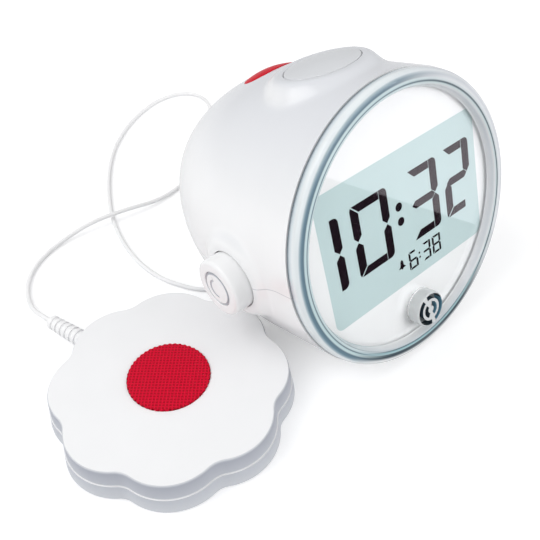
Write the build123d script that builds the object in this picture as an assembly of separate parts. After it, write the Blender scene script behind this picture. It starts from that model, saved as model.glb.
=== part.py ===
from build123d import *
import os
from math import asin, atan2, cos, degrees, pi, radians, sin, sqrt, tan

# Bed shaker alarm clock. Millimetres, +Z up, the clock's face looks along -Y.
# The pieces are placed from a point on the table, below the centre of the front ring.

# Driving sizes of the clock's drum, which leans back about the centre of its front ring
face_lean = 15.5
lean = radians(face_lean)
drum_radius = 54.6
drum_depth = 103.0
straight_depth = 36.0
back_flat_share = 0.498
back_flat_radius = back_flat_share * drum_radius
back_edge_radius = 10.0
shell_wall = 2.2
base_height = 2.0
base_wall = 2.4
running_gap = 0.05
seat_gap = 0.3
overrun = 1.0
overlap = 0.5

# Front cover, dial and display
ring_inset = 0.4
ring_radius = drum_radius - ring_inset
ring_lift = 0.07
axis_height = base_height + ring_lift + ring_radius * cos(lean)
ring_depth = 5.0
ring_round = 2.4
ring_inner_round = 1.2
ring_width = 6.2
window_radius = ring_radius - ring_width
window_front = 3.3
tab_inset = 2.3
tab_outer_radius = ring_radius - tab_inset
tab_thickness = 1.7
tab_inner_radius = tab_outer_radius - tab_thickness
tab_depth = 7.5
tab_width = 28.0
dial_inset = 4.2
dial_radius = ring_radius - dial_inset
dial_thickness = 1.0
display_width_share = 1.64
display_height_share = 1.064
display_width = display_width_share * dial_radius
display_height = display_height_share * dial_radius
display_corner = 2.5
display_centre = (0.8, 1.3)
display_edge = 0.8
glass_thickness = 2.6
guide_thickness = 2.4
frame_thickness = 7.0
frame_clearance = 0.2
board_inset = 8.2
board_radius = ring_radius - board_inset
board_thickness = 1.6
board_standoff = 3.0
standoff_radius = 3.0
standoff_inset = 5.0
standoff_circle = board_radius - standoff_inset
standoff_angle = 45.0
chip_size = 14.0
chip_thickness = 1.8
chip_place = (0.0, 12.0)
capacitor_radius = 3.2
capacitor_length = 7.0
capacitor_places = [(-20.0, 8.0), (-20.0, -4.0), (20.0, -4.0)]

# Sounder and its clear grille
sounder_inset = 11.5
sounder_place = (2.4, sounder_inset - dial_radius)
sounder_radius = 6.0
grille_radius = 5.9
grille_proud = 1.7
grille_flange_radius = 7.0
grille_flange = 1.0
grille_plate = 2.2
grille_wall = 0.9
grille_outer_slot = (3.7, 4.9)
grille_inner_slot = (1.5, 2.7)
grille_web = 1.6

# Seam between the two shells, as heights above the drum's axis
seam_front = -1.4
seam_drop_start = 12.0
seam_drop_end = 27.0
seam_round = 8.0

# Snooze button and the raised seat round it
pad_depth = 32.3
pad_rise = 2.4
pad_height = drum_radius + pad_rise
pad_half_width = 15.6
pad_half_length = 11.6
pad_crown_radius = 160.0
pad_wall = 1.8
pad_travel = 1.5
pad_proud = 0.5
seat_rim = 1.4
seat_height = pad_height - pad_proud
seat_foot_sink = 5.6
seat_foot_height = drum_radius - seat_foot_sink
seat_foot_spread = 7.5
flange_reach = 1.2
flange_thickness = 1.2
stem_radius = 2.0
stem_gap = 0.1

# Red button behind it
red_depth_share = 0.6272
red_depth = red_depth_share * drum_depth
red_half_width = 11.0
red_half_length = 7.5
red_proud = 0.6
red_travel = 1.2

# Board under the two top buttons
top_board_drop = 17.6
top_board_height = drum_radius - top_board_drop
top_board_width = 28.0
top_board_start = 24.0
top_board_margin = 14.4
top_board_end = red_depth + top_board_margin
post_radius = 2.0
post_inset = 3.0
post_places = [(12.0, pad_depth + 15.7), (11.5, top_board_end - post_inset)]
switch_size = 6.0
switch_height = 3.8

# Side knob, its button and the encoder that it turns, along the knob's axis
knob_depth = 37.2
knob_drop = -4.4
knob_radius = 11.2
knob_length = 8.8
knob_sink = 0.4
knob_back_x = knob_sink - drum_radius
knob_face_x = knob_back_x - knob_length
knob_round = 2.2
knob_wall = 2.6
knob_web = 1.6
boss_rise = 1.1
boss_lip_x = -(drum_radius + boss_rise)
boss_lip_radius = 13.2
boss_depth = 5.3
boss_foot_x = boss_lip_x + boss_depth
boss_foot_radius = 18.6
recess_depth = 2.1
recess_floor_x = boss_lip_x + recess_depth
recess_clearance = 0.4
knob_button_radius = 6.2
knob_button_gap = 0.2
knob_button_proud = 0.2
knob_button_cap = 2.2
knob_pocket = 3.8
knob_button_travel = 1.2
knob_button_stem = 4.0
hub_radius = 5.0
shaft_radius = 3.0
shaft_tail = 4.4
shaft_inner_x = boss_foot_x + shaft_tail
shaft_bore_radius = 1.3
shaft_bore = 3.8
bushing_radius = 3.5
bushing_reach = 2.4
bushing_end_x = recess_floor_x - bushing_reach
nut_radius = 5.2
nut_thickness = 1.6
encoder_size = 12.4
encoder_length = 6.6

# Rear panel with its sockets and controls
cover_radius = 22.0
cover_thickness = 2.4
cover_recess = 0.6
cover_gap = 0.2
ledge_width = 2.4
ledge_thickness = 1.6
ledge_root = 2.5
cover_screw_place = (16.9, 6.2)
cover_boss_radius = 3.0
cover_boss_length = 7.0
cover_screw_head = 2.0
rear_board_size = 31.0
rear_board_room = 13.0
rear_post_radius = 1.8
rear_post_places = [(-13.0, 10.5), (13.0, 10.5), (-3.5, -13.2), (12.0, -12.0)]
rear_button_radius = 3.4
rear_button_place = (6.6, 12.0)
rear_button_proud = 1.2
rear_button_travel = 0.8
rear_button_flange = 1.0
rear_switch_height = 4.0
slider_y = 2.6
slider_width = 3.6
slider_height = 3.0
slider_travel = 3.0
slider_proud = 1.4
slider_case_width = 12.0
slider_case_height = 5.0
slider_case_depth = 5.0
socket_y = -8.0
socket_proud = 0.4
shaker_socket_x = 3.0
shaker_socket_radius = 4.4
power_socket_x = -10.0
power_socket_radius = 5.0
power_bore_radius = 2.8
power_bore_depth = 9.0
power_pin_radius = 1.0
plug_pin_radius = 1.75

# Battery bay, door and feet, in the table's frame
cell_radius = 5.25
cell_length = 44.5
cell_count = 4
cell_gap = 0.2
bay_back_margin = 25.7
bay_wall = 1.4
contact_thickness = 0.9
door_thickness = 1.5
door_margin = 1.8
door_clearance = 0.2
door_travel = 9.0
door_tongue = 1.0
tongue_drop = 0.6
foot_radius = 5.0
foot_recess = 0.8
foot_clearance = 0.1
foot_spread = (19.0, 17.5)
foot_front_margin = 1.2
foot_back_margin = 8.9

# Screw pillars inside the two shells
pillar_spread = (29.0, 27.5)
pillar_depth_share = (0.408, 0.602)
pillar_radius = 4.4
screw_head_radius = 2.8
screw_head_height = 2.0
screw_radius = 1.4
screw_bite = 7.0
head_clearance = 0.3

# Bed shaker: eight lobes, whose tops and valleys lie on two circles
shaker_place = (-89.6, 33.0)
lobe_count = 8
lobe_angle = 9.4
lobe_reach = 43.9
valley_reach = 40.5
lobe_radius = 19.5
shaker_height = 14.2
shaker_crown = 0.7
shaker_split = 7.0
shaker_wall = 1.8
shaker_edge_round = 2.0
shaker_foot_round = 1.0
top_flare = 0.7
seam_ledge = 0.35
foot_flare = 1.9
shaker_pad_radius = 15.3
shaker_pad_recess = 0.6
shaker_pad_proud = 1.0
shaker_pad_round = 0.4
shaker_screw_circle = 33.0
shaker_screw_angle = 31.9
shaker_boss_radius = 3.6
shaker_screw_length = 7.0
motor_length = 15.0
motor_width = 12.0
motor_height = 9.6
motor_start = -13.0
motor_shaft_radius = 0.8
motor_shaft_length = 10.0
weight_radius = 4.5
weight_length = 7.0
weight_gap = 1.5
weight_hub_radius = 2.0
cradle_wall = 2.0
cradle_height = 5.0

# Strain relief of the shaker, along its own axis from the shaker's centre
relief_angle = 104.0
relief_height = 6.0
relief_start = 39.0
relief_neck = 45.5
relief_tip = 65.0
relief_root_radius = 3.6
relief_tip_radius = 2.9
relief_flange_radius = 4.4
relief_flange = 1.4
relief_clearance = 0.1
relief_ribs = 6
relief_groove = 0.5
relief_groove_share = 0.4

# Cord, whose free stretches go through these points, laid at half its thickness on the table
cord_diameter = 2.0
cord_side_count = 8
lead_leave = 6.0
lead_points = [
    (-107.0, 110.5, 2.6), (-105.3, 119.5, 1.0), (-101.0, 128.5, 1.0), (-94.0, 136.0, 1.0),
    (-84.0, 141.5, 1.0), (-71.5, 143.8, 1.8), (-58.5, 142.4, 4.4), (-40.0, 138.6, 4.4),
    (-24.0, 136.6, 1.6), (-7.0, 139.5, 1.0), (8.0, 147.5, 1.0), (23.0, 158.0, 1.0),
    (37.0, 171.5, 1.0), (48.0, 186.0, 1.0), (54.0, 202.0, 1.0), (49.0, 214.0, 1.0),
    (36.0, 218.5, 1.0), (20.0, 215.5, 1.0), (2.0, 206.5, 1.0), (-15.5, 192.5, 1.0),
    (-30.0, 174.5, 1.0), (-41.0, 156.5, 1.0), (-49.0, 140.5, 1.0), (-54.5, 123.0, 1.0),
    (-57.0, 106.0, 1.0), (-55.8, 91.5, 1.0), (-52.2, 81.8, 1.0), (-48.1, 74.0, 1.0),
    (-43.6, 69.4, 1.0), (-37.6, 68.9, 1.0), (-33.1, 73.0, 1.0), (-32.2, 80.5, 1.0),
    (-31.6, 90.0, 1.0), (-28.0, 100.0, 1.0), (-18.5, 105.5, 1.0), (-4.0, 106.5, 1.0),
    (12.0, 103.0, 1.0),
]
lead_approach = 11.0
tail_leave = 8.5
tail_points = [(20.5, 135.5, 6.5), (10.0, 136.8, 6.8)]
tail_approach = 8.8

# Coil of the length that is put away, in layers of turns that spiral in and out
coil_centre = (42.0, 116.0)
coil_middle_radius = 12.0
coil_pitch = 2.45
coil_layers = 4
coil_half_turns = 9
gap_sample_count = 6
tie_thickness = 0.8
tie_width = 4.0
tie_gap = 0.4

# Jack plug
grip_length = 17.0
grip_radius = 4.0
grip_tip_radius = 2.6
plug_relief_length = 9.0
plug_relief_radius = 1.7
plug_pin_length = 14.0

# The drum's own frame: x to the right, y up the face, z out of the face
FACE = Plane(origin=(0, 0, axis_height), x_dir=(1, 0, 0), z_dir=(0, -cos(lean), sin(lean)))


def on_drum(shape):
    """Moves a shape from the drum's own frame to the table's."""
    return FACE.location * shape


def table_point(x, y, depth):
    """A point of the drum's frame, given by its depth behind the face, in the table's frame."""
    return Vector(x, y * sin(lean) + depth * cos(lean), axis_height + y * cos(lean) - depth * sin(lean))


def disc(radius, near, far, x=0, y=0):
    """A round slab across the drum's axis, between two depths behind the face."""
    return Pos(x, y, -(near + far) / 2) * Cylinder(radius, far - near)


def block(width, height, near, far, x=0, y=0):
    """A square slab across the drum's axis, between two depths behind the face."""
    return Pos(x, y, -(near + far) / 2) * Box(width, height, far - near)


def side_disc(radius, outer_x, inner_x):
    """A round bar along the knob's axis, between two places across the drum."""
    place = Pos((outer_x + inner_x) / 2, knob_drop, -knob_depth) * Rot(0, 90, 0)
    return place * Cylinder(radius, inner_x - outer_x)


def side_block(size, outer_x, inner_x):
    """A square bar along the knob's axis."""
    return Pos((outer_x + inner_x) / 2, knob_drop, -knob_depth) * Box(inner_x - outer_x, size, size)


def table_bar(radius, low, high, x, y):
    """A round upright bar on the table's axes."""
    return Pos(x, y, (low + high) / 2) * Cylinder(radius, high - low)


def table_block(width, length, low, high, x=0, y=0):
    """A box on the table's axes, between two heights."""
    return Pos(x, y, (low + high) / 2) * Box(width, length, high - low)


def below_table(height):
    """Everything under a height above the table."""
    size = 4 * drum_depth
    return Pos(0, 0, height - size / 2) * Box(size, size, size)


# The turned drum

def flank_size():
    """Radius of the flank's arc, which leaves the straight part and meets the back's edge smoothly."""
    run = drum_depth - back_edge_radius - straight_depth
    drop = drum_radius - back_flat_radius
    return (drop ** 2 + run ** 2 - back_edge_radius ** 2) / (2 * (drop - back_edge_radius))


flank_radius = flank_size()


def drum_reach(depth, inset=0):
    """Radius of the drum at a depth, inset from its outer face."""
    if depth <= straight_depth:
        return drum_radius - inset
    reach = flank_radius - inset
    return drum_radius - flank_radius + sqrt(reach ** 2 - (depth - straight_depth) ** 2)


def drum_top(x, depth, inset=0):
    """Height of the drum's top above its axis, over a place."""
    return sqrt(drum_reach(depth, inset) ** 2 - x ** 2)


def drum_solid(inset, front):
    """The turned drum, inset from its outer face, from a depth to its back."""
    flank_centre = (drum_radius - flank_radius, -straight_depth)
    edge_centre = (back_flat_radius, back_edge_radius - drum_depth)
    turn = degrees(atan2(edge_centre[1] - flank_centre[1], edge_centre[0] - flank_centre[0]))
    side = drum_radius - inset
    back = inset - drum_depth
    section = make_face([
        Line((0, -front), (side, -front)),
        Line((side, -front), (side, -straight_depth)),
        CenterArc(flank_centre, flank_radius - inset, 0, turn),
        CenterArc(edge_centre, back_edge_radius - inset, turn, -90 - turn),
        Line((edge_centre[0], back), (0, back)),
        Line((0, back), (0, -front)),
    ])
    return revolve(Plane.XZ * section, Axis.Z)


def below_seam():
    """Everything under the seam of the two shells, in the drum's frame."""
    reach = drum_depth + drum_radius
    outline = make_face(Polyline(
        (seam_front, reach), (seam_front, -seam_drop_start), (knob_drop, -seam_drop_end),
        (knob_drop, -reach), (-reach, -reach), (-reach, reach), close=True,
    ))
    bends = [v for v in outline.vertices() if -reach < v.Y < 0]
    return extrude(Plane.YZ * fillet(bends, seam_round), reach, both=True)


# Seats of the two top buttons, on planes that look out of the drum

def top_plane(depth, height, tilt=0):
    """A plane over the drum, tilted back in degrees, with its x across the drum."""
    out = (0, cos(radians(tilt)), -sin(radians(tilt)))
    return Plane(origin=(0, height, -depth), x_dir=(1, 0, 0), z_dir=out)


red_tilt = degrees(asin((red_depth - straight_depth) / flank_radius))
red_plane = top_plane(red_depth, drum_reach(red_depth), red_tilt)
pad_plane = top_plane(pad_depth, pad_height)
top_board_top = top_board_height + board_thickness
switch_top = top_board_top + switch_height


def oval(plane, half_width, half_length, high, low):
    """An oval bar along a plane's normal, between two heights over the plane."""
    return extrude(plane.offset(low) * Ellipse(half_width, half_length), high - low)


def snooze_seat():
    """The raised seat of the snooze button, which spreads to its foot."""
    rim = seat_gap + seat_rim
    spread = rim + seat_foot_spread
    top = top_plane(pad_depth, seat_height) * Ellipse(pad_half_width + rim, pad_half_length + rim)
    foot = top_plane(pad_depth, seat_foot_height) * Ellipse(pad_half_width + spread, pad_half_length + spread)
    return loft([foot, top])


def snooze_opening():
    """What the seat leaves free for the snooze button."""
    return oval(pad_plane, pad_half_width + seat_gap, pad_half_length + seat_gap,
                overrun, top_board_top - pad_height)


def red_opening():
    """What the drum leaves free for the red button."""
    return oval(red_plane, red_half_width + seat_gap, red_half_length + seat_gap,
                red_proud + overrun, -red_flange_top)


def flange_drop(plane_height, half_width, depth):
    """How far under a button's plane its flange clears the wall."""
    return plane_height - drum_top(half_width + flange_reach, depth, shell_wall) + seat_gap


pad_flange_top = flange_drop(pad_height, pad_half_width, pad_depth + pad_half_length + flange_reach)
red_flange_top = flange_drop(drum_reach(red_depth), red_half_width, red_depth) + seat_gap


def snooze_button():
    """The snooze button: crowned cap, skirt with a stop flange, and a stem over its switch."""
    low = -(pad_flange_top + flange_thickness)
    crown = Pos(0, pad_height - pad_crown_radius, -pad_depth) * Sphere(pad_crown_radius)
    cap = oval(pad_plane, pad_half_width, pad_half_length, overrun, low) & crown
    cap += oval(pad_plane, pad_half_width + flange_reach, pad_half_length + flange_reach,
                -pad_flange_top, low)
    cap -= oval(pad_plane, pad_half_width - pad_wall, pad_half_length - pad_wall,
                -2 * pad_wall, low - overrun)
    stem_end = switch_top + pad_travel + stem_gap - pad_height
    cap += oval(pad_plane, stem_radius, stem_radius, -pad_wall, stem_end)
    return on_drum(cap)


def red_button():
    """The red button, on the drum's slope."""
    low = -(red_flange_top + flange_thickness)
    cap = oval(red_plane, red_half_width, red_half_length, red_proud, low)
    cap += oval(red_plane, red_half_width + flange_reach, red_half_length + flange_reach,
                -red_flange_top, low)
    cap -= oval(red_plane, red_half_width - pad_wall, red_half_length - pad_wall,
                red_proud - 2 * pad_wall, low - overrun)
    tilt = radians(red_tilt)
    drop = drum_reach(red_depth) - switch_top - red_travel - stem_gap - stem_radius * sin(tilt)
    cap += oval(red_plane, stem_radius, stem_radius, red_proud - pad_wall, -drop / cos(tilt))
    return on_drum(cap)


red_switch_depth = red_depth - (drum_reach(red_depth) - switch_top) * tan(radians(red_tilt))


def button_board():
    """The board under the two top buttons."""
    length = top_board_end - top_board_start
    middle = (top_board_start + top_board_end) / 2
    return on_drum(Pos(0, top_board_height + board_thickness / 2, -middle)
                   * Box(top_board_width, board_thickness, length))


def top_switches():
    """The two switches on it."""
    shapes = []
    for depth in (pad_depth, red_switch_depth):
        case = Box(switch_size, switch_height / 2, switch_size)
        place = Pos(0, top_board_top + switch_height / 4, -depth)
        plunger = Rot(90, 0, 0) * Cylinder(stem_radius, switch_height / 2)
        shapes.append(on_drum(place * case + place * Pos(0, switch_height / 2, 0) * plunger))
    return Compound(shapes)


def board_posts():
    """Posts that hang from the upper shell down to the board's corners."""
    posts = []
    for x, depth in post_places:
        for side in (-1, 1):
            top = drum_top(x, depth, shell_wall - overlap)
            place = Pos(side * x, (top + top_board_top) / 2, -depth) * Rot(90, 0, 0)
            posts.append(place * Cylinder(post_radius, top - top_board_top))
    return posts


# Front cover, dial, display and main board

dial_back = ring_depth + dial_thickness
frame_back = dial_back + frame_thickness
board_near = frame_back + board_standoff
board_far = board_near + board_thickness


def front_lens():
    """The clear cover: a thick rounded rim round a thin window, with two tabs behind."""
    section = make_face(Polyline(
        (0, -window_front), (window_radius, -window_front), (window_radius, 0), (ring_radius, 0),
        (ring_radius, -ring_depth), (0, -ring_depth), close=True,
    ))
    crest = [v for v in section.vertices() if v.Y > -overlap]
    outer = max(crest, key=lambda v: v.X)
    inner = min(crest, key=lambda v: v.X)
    section = fillet(outer, ring_round)
    inner = min((v for v in section.vertices() if v.Y > -overlap), key=lambda v: v.X)
    section = fillet(inner, ring_inner_round)
    cover = revolve(Plane.XZ * section, Axis.Z)
    tabs = disc(tab_outer_radius, ring_depth - overlap, tab_depth)
    tabs -= disc(tab_inner_radius, window_front, tab_depth + overrun)
    cover += tabs & block(2 * ring_radius, tab_width, window_front, tab_depth)
    return on_drum(cover - grille_hole(window_front - overrun, ring_depth + overrun))


def grille_hole(near, far):
    """The hole for the clear grille, between two depths."""
    return disc(grille_radius + running_gap, near, far, *sounder_place)


def display_slab(edge, near, far):
    """The display's rounded window, grown by an edge, as a slab."""
    corner = display_corner + edge
    outline = RectangleRounded(display_width + 2 * edge, display_height + 2 * edge, corner)
    return extrude(Pos(*display_centre, -far) * outline, far - near)


def dial_plate():
    """The white dial with its window for the display."""
    plate = disc(dial_radius, ring_depth, dial_back)
    plate -= display_slab(0, ring_depth - overrun, dial_back + overrun)
    return on_drum(plate - grille_hole(ring_depth - overrun, dial_back + overrun))


def lcd_panel():
    """The display glass."""
    return on_drum(display_slab(display_edge, dial_back, dial_back + glass_thickness))


def lcd_backlight():
    """The light guide behind the glass."""
    near = dial_back + glass_thickness
    return on_drum(display_slab(display_edge, near, near + guide_thickness))


def standoff_places():
    """Where the four standoffs of the main board are."""
    turn = radians(standoff_angle)
    x, y = standoff_circle * cos(turn), standoff_circle * sin(turn)
    return [(-x, -y), (x, -y), (-x, y), (x, y)]


def display_frame():
    """The moulding that carries the display and the main board."""
    frame = disc(drum_radius - shell_wall - frame_clearance, dial_back, frame_back)
    frame -= display_slab(display_edge + frame_clearance, dial_back - overrun,
                          dial_back + glass_thickness + guide_thickness)
    slots = disc(tab_outer_radius + frame_clearance, dial_back - overrun, tab_depth + seat_gap)
    slots -= disc(tab_inner_radius - frame_clearance, ring_depth, tab_depth + overrun)
    frame -= slots & block(2 * ring_radius, tab_width + seat_gap, ring_depth, tab_depth + overrun)
    frame -= disc(grille_flange_radius + running_gap, dial_back - overrun, frame_back + overrun, *sounder_place)
    for x, y in standoff_places():
        frame += disc(standoff_radius, frame_back - overlap, board_near, x, y)
    for x, y in standoff_places():
        frame -= disc(screw_radius + running_gap, board_near - screw_bite / 2, board_near + overrun, x, y)
    return on_drum(frame) - below_table(base_height + base_wall + frame_clearance)


def main_board():
    """The main circuit board."""
    board = disc(board_radius, board_near, board_far)
    for x, y in standoff_places():
        board -= disc(screw_radius + running_gap, board_near - overrun, board_far + overrun, x, y)
    return on_drum(board)


def board_screws():
    """The four screws of the main board."""
    screws = []
    for x, y in standoff_places():
        shank = disc(screw_radius, board_near - screw_bite / 2 + overlap, board_far, x, y)
        screws.append(on_drum(shank + disc(screw_head_radius, board_far, board_far + screw_head_height, x, y)))
    return Compound(screws)


def board_parts():
    """The chip and the capacitors soldered to the main board."""
    parts = [on_drum(block(chip_size, chip_size, board_far, board_far + chip_thickness, *chip_place))]
    for place in capacitor_places:
        parts.append(on_drum(disc(capacitor_radius, board_far, board_far + capacitor_length, *place)))
    return Compound(parts)


def slot_ring(radii, across):
    """An arc slot ring with two webs, through the grille's plate."""
    near, far = -grille_proud - overrun, grille_plate - grille_proud + overrun
    inner, outer = radii
    ring = disc(outer, near, far, *sounder_place) - disc(inner, near, far, *sounder_place)
    web = (grille_web, 2 * grille_radius) if across else (2 * grille_radius, grille_web)
    return ring - block(*web, near, far, *sounder_place)


def sounder_grille():
    """The clear grille: a proud cup with two rings of arc slots and a flange behind the dial."""
    grille = disc(grille_radius, -grille_proud, dial_back + overlap, *sounder_place)
    grille += disc(grille_flange_radius, dial_back, dial_back + grille_flange, *sounder_place)
    grille -= disc(grille_radius - grille_wall, grille_plate - grille_proud,
                   dial_back + grille_flange + overrun, *sounder_place)
    return on_drum(grille - slot_ring(grille_outer_slot, False) - slot_ring(grille_inner_slot, True))


def sounder():
    """The buzzer on the main board, behind the grille."""
    return on_drum(disc(sounder_radius, dial_back + grille_flange, board_near, *sounder_place))


# Side knob

pocket_floor_x = knob_face_x + knob_pocket
knob_hollow_x = pocket_floor_x + knob_web


def knob_boss():
    """The flared boss that the knob turns in."""
    foot = Plane(origin=(boss_foot_x, knob_drop, -knob_depth), x_dir=(0, 1, 0), z_dir=(1, 0, 0))
    lip = foot.offset(boss_lip_x - boss_foot_x)
    return loft([lip * Circle(boss_lip_radius), foot * Circle(boss_foot_radius)])


def knob_pad():
    """The boss's thick pad inside the wall."""
    return side_disc(boss_lip_radius, boss_lip_x, boss_foot_x)


def knob_recess():
    """The recess behind the knob and the hole of the encoder's bushing."""
    recess = side_disc(knob_radius + recess_clearance, boss_lip_x - overrun, recess_floor_x)
    return recess + side_disc(bushing_radius + running_gap, recess_floor_x - overlap, boss_foot_x + overrun)


def side_knob():
    """The knob: a rounded cup with a pocket for its button and a hub on the shaft."""
    section = make_face(Polyline(
        (knob_face_x, 0), (knob_face_x, knob_radius), (knob_back_x, knob_radius), (knob_back_x, 0), close=True,
    ))
    rim = min((v for v in section.vertices() if v.Y > knob_radius - overlap), key=lambda v: v.X)
    knob = Pos(0, knob_drop, -knob_depth) * revolve(fillet(rim, knob_round), Axis.X)
    knob -= side_disc(knob_button_radius + knob_button_gap, knob_face_x - overrun, pocket_floor_x)
    hollow = side_disc(knob_radius - knob_wall, knob_hollow_x, knob_back_x + overrun)
    hollow -= side_disc(hub_radius, knob_hollow_x - overrun, bushing_end_x - seat_gap)
    knob -= hollow
    return on_drum(knob - side_disc(shaft_radius, knob_face_x, knob_back_x))


def knob_button():
    """The push button in the knob's face, with a stem in the shaft's bore."""
    front = knob_face_x - knob_button_proud
    back = front + knob_button_cap
    button = side_disc(knob_button_radius, front, back)
    return on_drum(button + side_disc(shaft_bore_radius - running_gap, back - overlap, back + knob_button_stem))


def encoder_shaft():
    """The shaft that the knob sits on."""
    shaft = side_disc(shaft_radius, pocket_floor_x, shaft_inner_x)
    return on_drum(shaft - side_disc(shaft_bore_radius, pocket_floor_x - overrun, pocket_floor_x + shaft_bore))


def knob_encoder():
    """The encoder behind the wall, with its threaded bushing."""
    case = side_block(encoder_size, boss_foot_x, boss_foot_x + encoder_length)
    case += side_disc(bushing_radius, bushing_end_x, boss_foot_x + overlap)
    return on_drum(case - side_disc(shaft_radius + running_gap, bushing_end_x - overrun,
                                    shaft_inner_x + running_gap))


def encoder_nut():
    """The nut that clamps the bushing in the recess."""
    start = recess_floor_x - nut_thickness
    place = Pos(start, knob_drop, -knob_depth) * Rot(0, 90, 0)
    nut = place * extrude(RegularPolygon(nut_radius, 6), nut_thickness)
    return on_drum(nut - side_disc(bushing_radius, start - overrun, recess_floor_x + overrun))


# Rear panel

cover_far = drum_depth - cover_recess
cover_near = cover_far - cover_thickness
rear_board_far = cover_near - rear_board_room
socket_face = cover_far + socket_proud
cover_sides = (-1, 1)


def rear_ledge():
    """The ring that the panel sits on, with two screw bosses."""
    near = cover_near - ledge_thickness
    ring = disc(cover_radius + ledge_root, near, cover_near + shell_wall)
    ring -= disc(cover_radius - ledge_width, near - overrun, drum_depth)
    for side in cover_sides:
        ring += disc(cover_boss_radius, cover_near - cover_boss_length, cover_near,
                     side * cover_screw_place[0], cover_screw_place[1])
    return ring


def rear_cuts():
    """The panel's seat and the pilot holes of its screws."""
    cuts = disc(cover_radius + cover_gap, cover_near, drum_depth + overrun)
    for side in cover_sides:
        cuts += disc(screw_radius + running_gap, cover_near - cover_boss_length + overrun, drum_depth,
                     side * cover_screw_place[0], cover_screw_place[1])
    return cuts


def slider_slot_width():
    """How wide the slider's slot is."""
    return slider_width + 2 * slider_travel + 2 * seat_gap


def rear_cover():
    """The round rear panel, with its posts for the small board."""
    cover = disc(cover_radius, cover_near, cover_far)
    for side in cover_sides:
        x, y = rear_button_place
        cover -= disc(rear_button_radius + cover_gap, cover_near - overrun, drum_depth, side * x, y)
        x, y = cover_screw_place
        cover -= disc(screw_radius + running_gap, cover_near - overrun, drum_depth, side * x, y)
        cover -= disc(screw_head_radius + running_gap, cover_far - cover_screw_head, drum_depth, side * x, y)
    cover -= block(slider_slot_width(), slider_height + 2 * seat_gap, cover_near - overrun, drum_depth, y=slider_y)
    cover -= disc(shaker_socket_radius + running_gap, cover_near - overrun, drum_depth, shaker_socket_x, socket_y)
    cover -= disc(power_socket_radius + running_gap, cover_near - overrun, drum_depth, power_socket_x, socket_y)
    for x, y in rear_post_places:
        cover += disc(rear_post_radius, rear_board_far, cover_near + overlap, x, y)
    return on_drum(cover)


def cover_screws():
    """The two screws of the rear panel."""
    screws = []
    for side in cover_sides:
        x, y = side * cover_screw_place[0], cover_screw_place[1]
        head_near = cover_far - cover_screw_head
        shank = disc(screw_radius, cover_near - screw_bite + 2 * overrun, head_near, x, y)
        screws.append(on_drum(shank + disc(screw_head_radius, head_near, cover_far, x, y)))
    return Compound(screws)


def rear_board():
    """The small board behind the rear panel."""
    return on_drum(block(rear_board_size, rear_board_size, rear_board_far - board_thickness, rear_board_far))


def rear_switches():
    """The two switches and the slider's case on the small board."""
    parts = []
    for side in cover_sides:
        x, y = side * rear_button_place[0], rear_button_place[1]
        parts.append(on_drum(block(switch_size, switch_size, rear_board_far,
                                   rear_board_far + rear_switch_height, x, y)))
    parts.append(on_drum(block(slider_case_width, slider_case_height, rear_board_far,
                               rear_board_far + slider_case_depth, y=slider_y)))
    return Compound(parts)


def rear_button(side):
    """A round button of the rear panel, with its stop flange."""
    x, y = side * rear_button_place[0], rear_button_place[1]
    stem_end = rear_board_far + rear_switch_height + rear_button_travel + seat_gap
    flange_far = cover_near - seat_gap
    button = disc(rear_button_radius, stem_end, cover_far + rear_button_proud, x, y)
    flange = disc(rear_button_radius + rear_button_flange, flange_far - rear_button_flange, flange_far, x, y)
    return on_drum(button + flange)


def volume_slider():
    """The slider of the rear panel."""
    near = rear_board_far + slider_case_depth + seat_gap
    return on_drum(block(slider_width, slider_height, near, cover_far + slider_proud, y=slider_y))


def shaker_socket():
    """The jack socket of the shaker's cord."""
    body = disc(shaker_socket_radius, rear_board_far, socket_face, shaker_socket_x, socket_y)
    bore = disc(plug_pin_radius + running_gap, socket_face - plug_pin_length - overrun, socket_face + overrun,
                shaker_socket_x, socket_y)
    return on_drum(body - bore)


def power_socket():
    """The round power inlet with its centre pin."""
    place = (power_socket_x, socket_y)
    floor = socket_face - power_bore_depth
    body = disc(power_socket_radius, rear_board_far, socket_face, *place)
    body -= disc(power_bore_radius, floor, socket_face + overrun, *place)
    return on_drum(body + disc(power_pin_radius, floor - overlap, socket_face - overrun, *place))


# Battery bay, door and feet

bay_width = cell_count * 2 * cell_radius + (cell_count + 1) * cell_gap
bay_length = cell_length + 2 * (contact_thickness + cell_gap)
base_back = (base_height - axis_height + drum_depth * sin(lean)) / cos(lean)
base_back_y = drum_depth * cos(lean) + base_back * sin(lean)
bay_middle_y = base_back_y - bay_back_margin - bay_length / 2
door_top = base_height + door_thickness
cell_floor = door_top + door_clearance
bay_top = cell_floor + 2 * cell_radius + cell_gap
door_width = bay_width + 2 * door_margin
door_length = bay_length + 2 * door_margin
channel_middle_y = bay_middle_y + door_travel / 2
foot_front_y = bay_middle_y - door_length / 2 - foot_front_margin - foot_radius
foot_back_y = base_back_y - foot_back_margin
foot_places = [(side * x, y) for x, y in zip(foot_spread, (foot_front_y, foot_back_y)) for side in (-1, 1)]


def bay_walls():
    """The bay's walls and roof and the thick floor of its door, before they are hollowed."""
    walls = table_block(bay_width + 2 * bay_wall, bay_length + 2 * bay_wall, base_height, bay_top + bay_wall,
                        y=bay_middle_y)
    width = door_width + 2 * (door_tongue + bay_wall)
    length = door_length + door_travel + 2 * bay_wall
    return walls + table_block(width, length, base_height, cell_floor + bay_wall, y=channel_middle_y)


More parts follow.
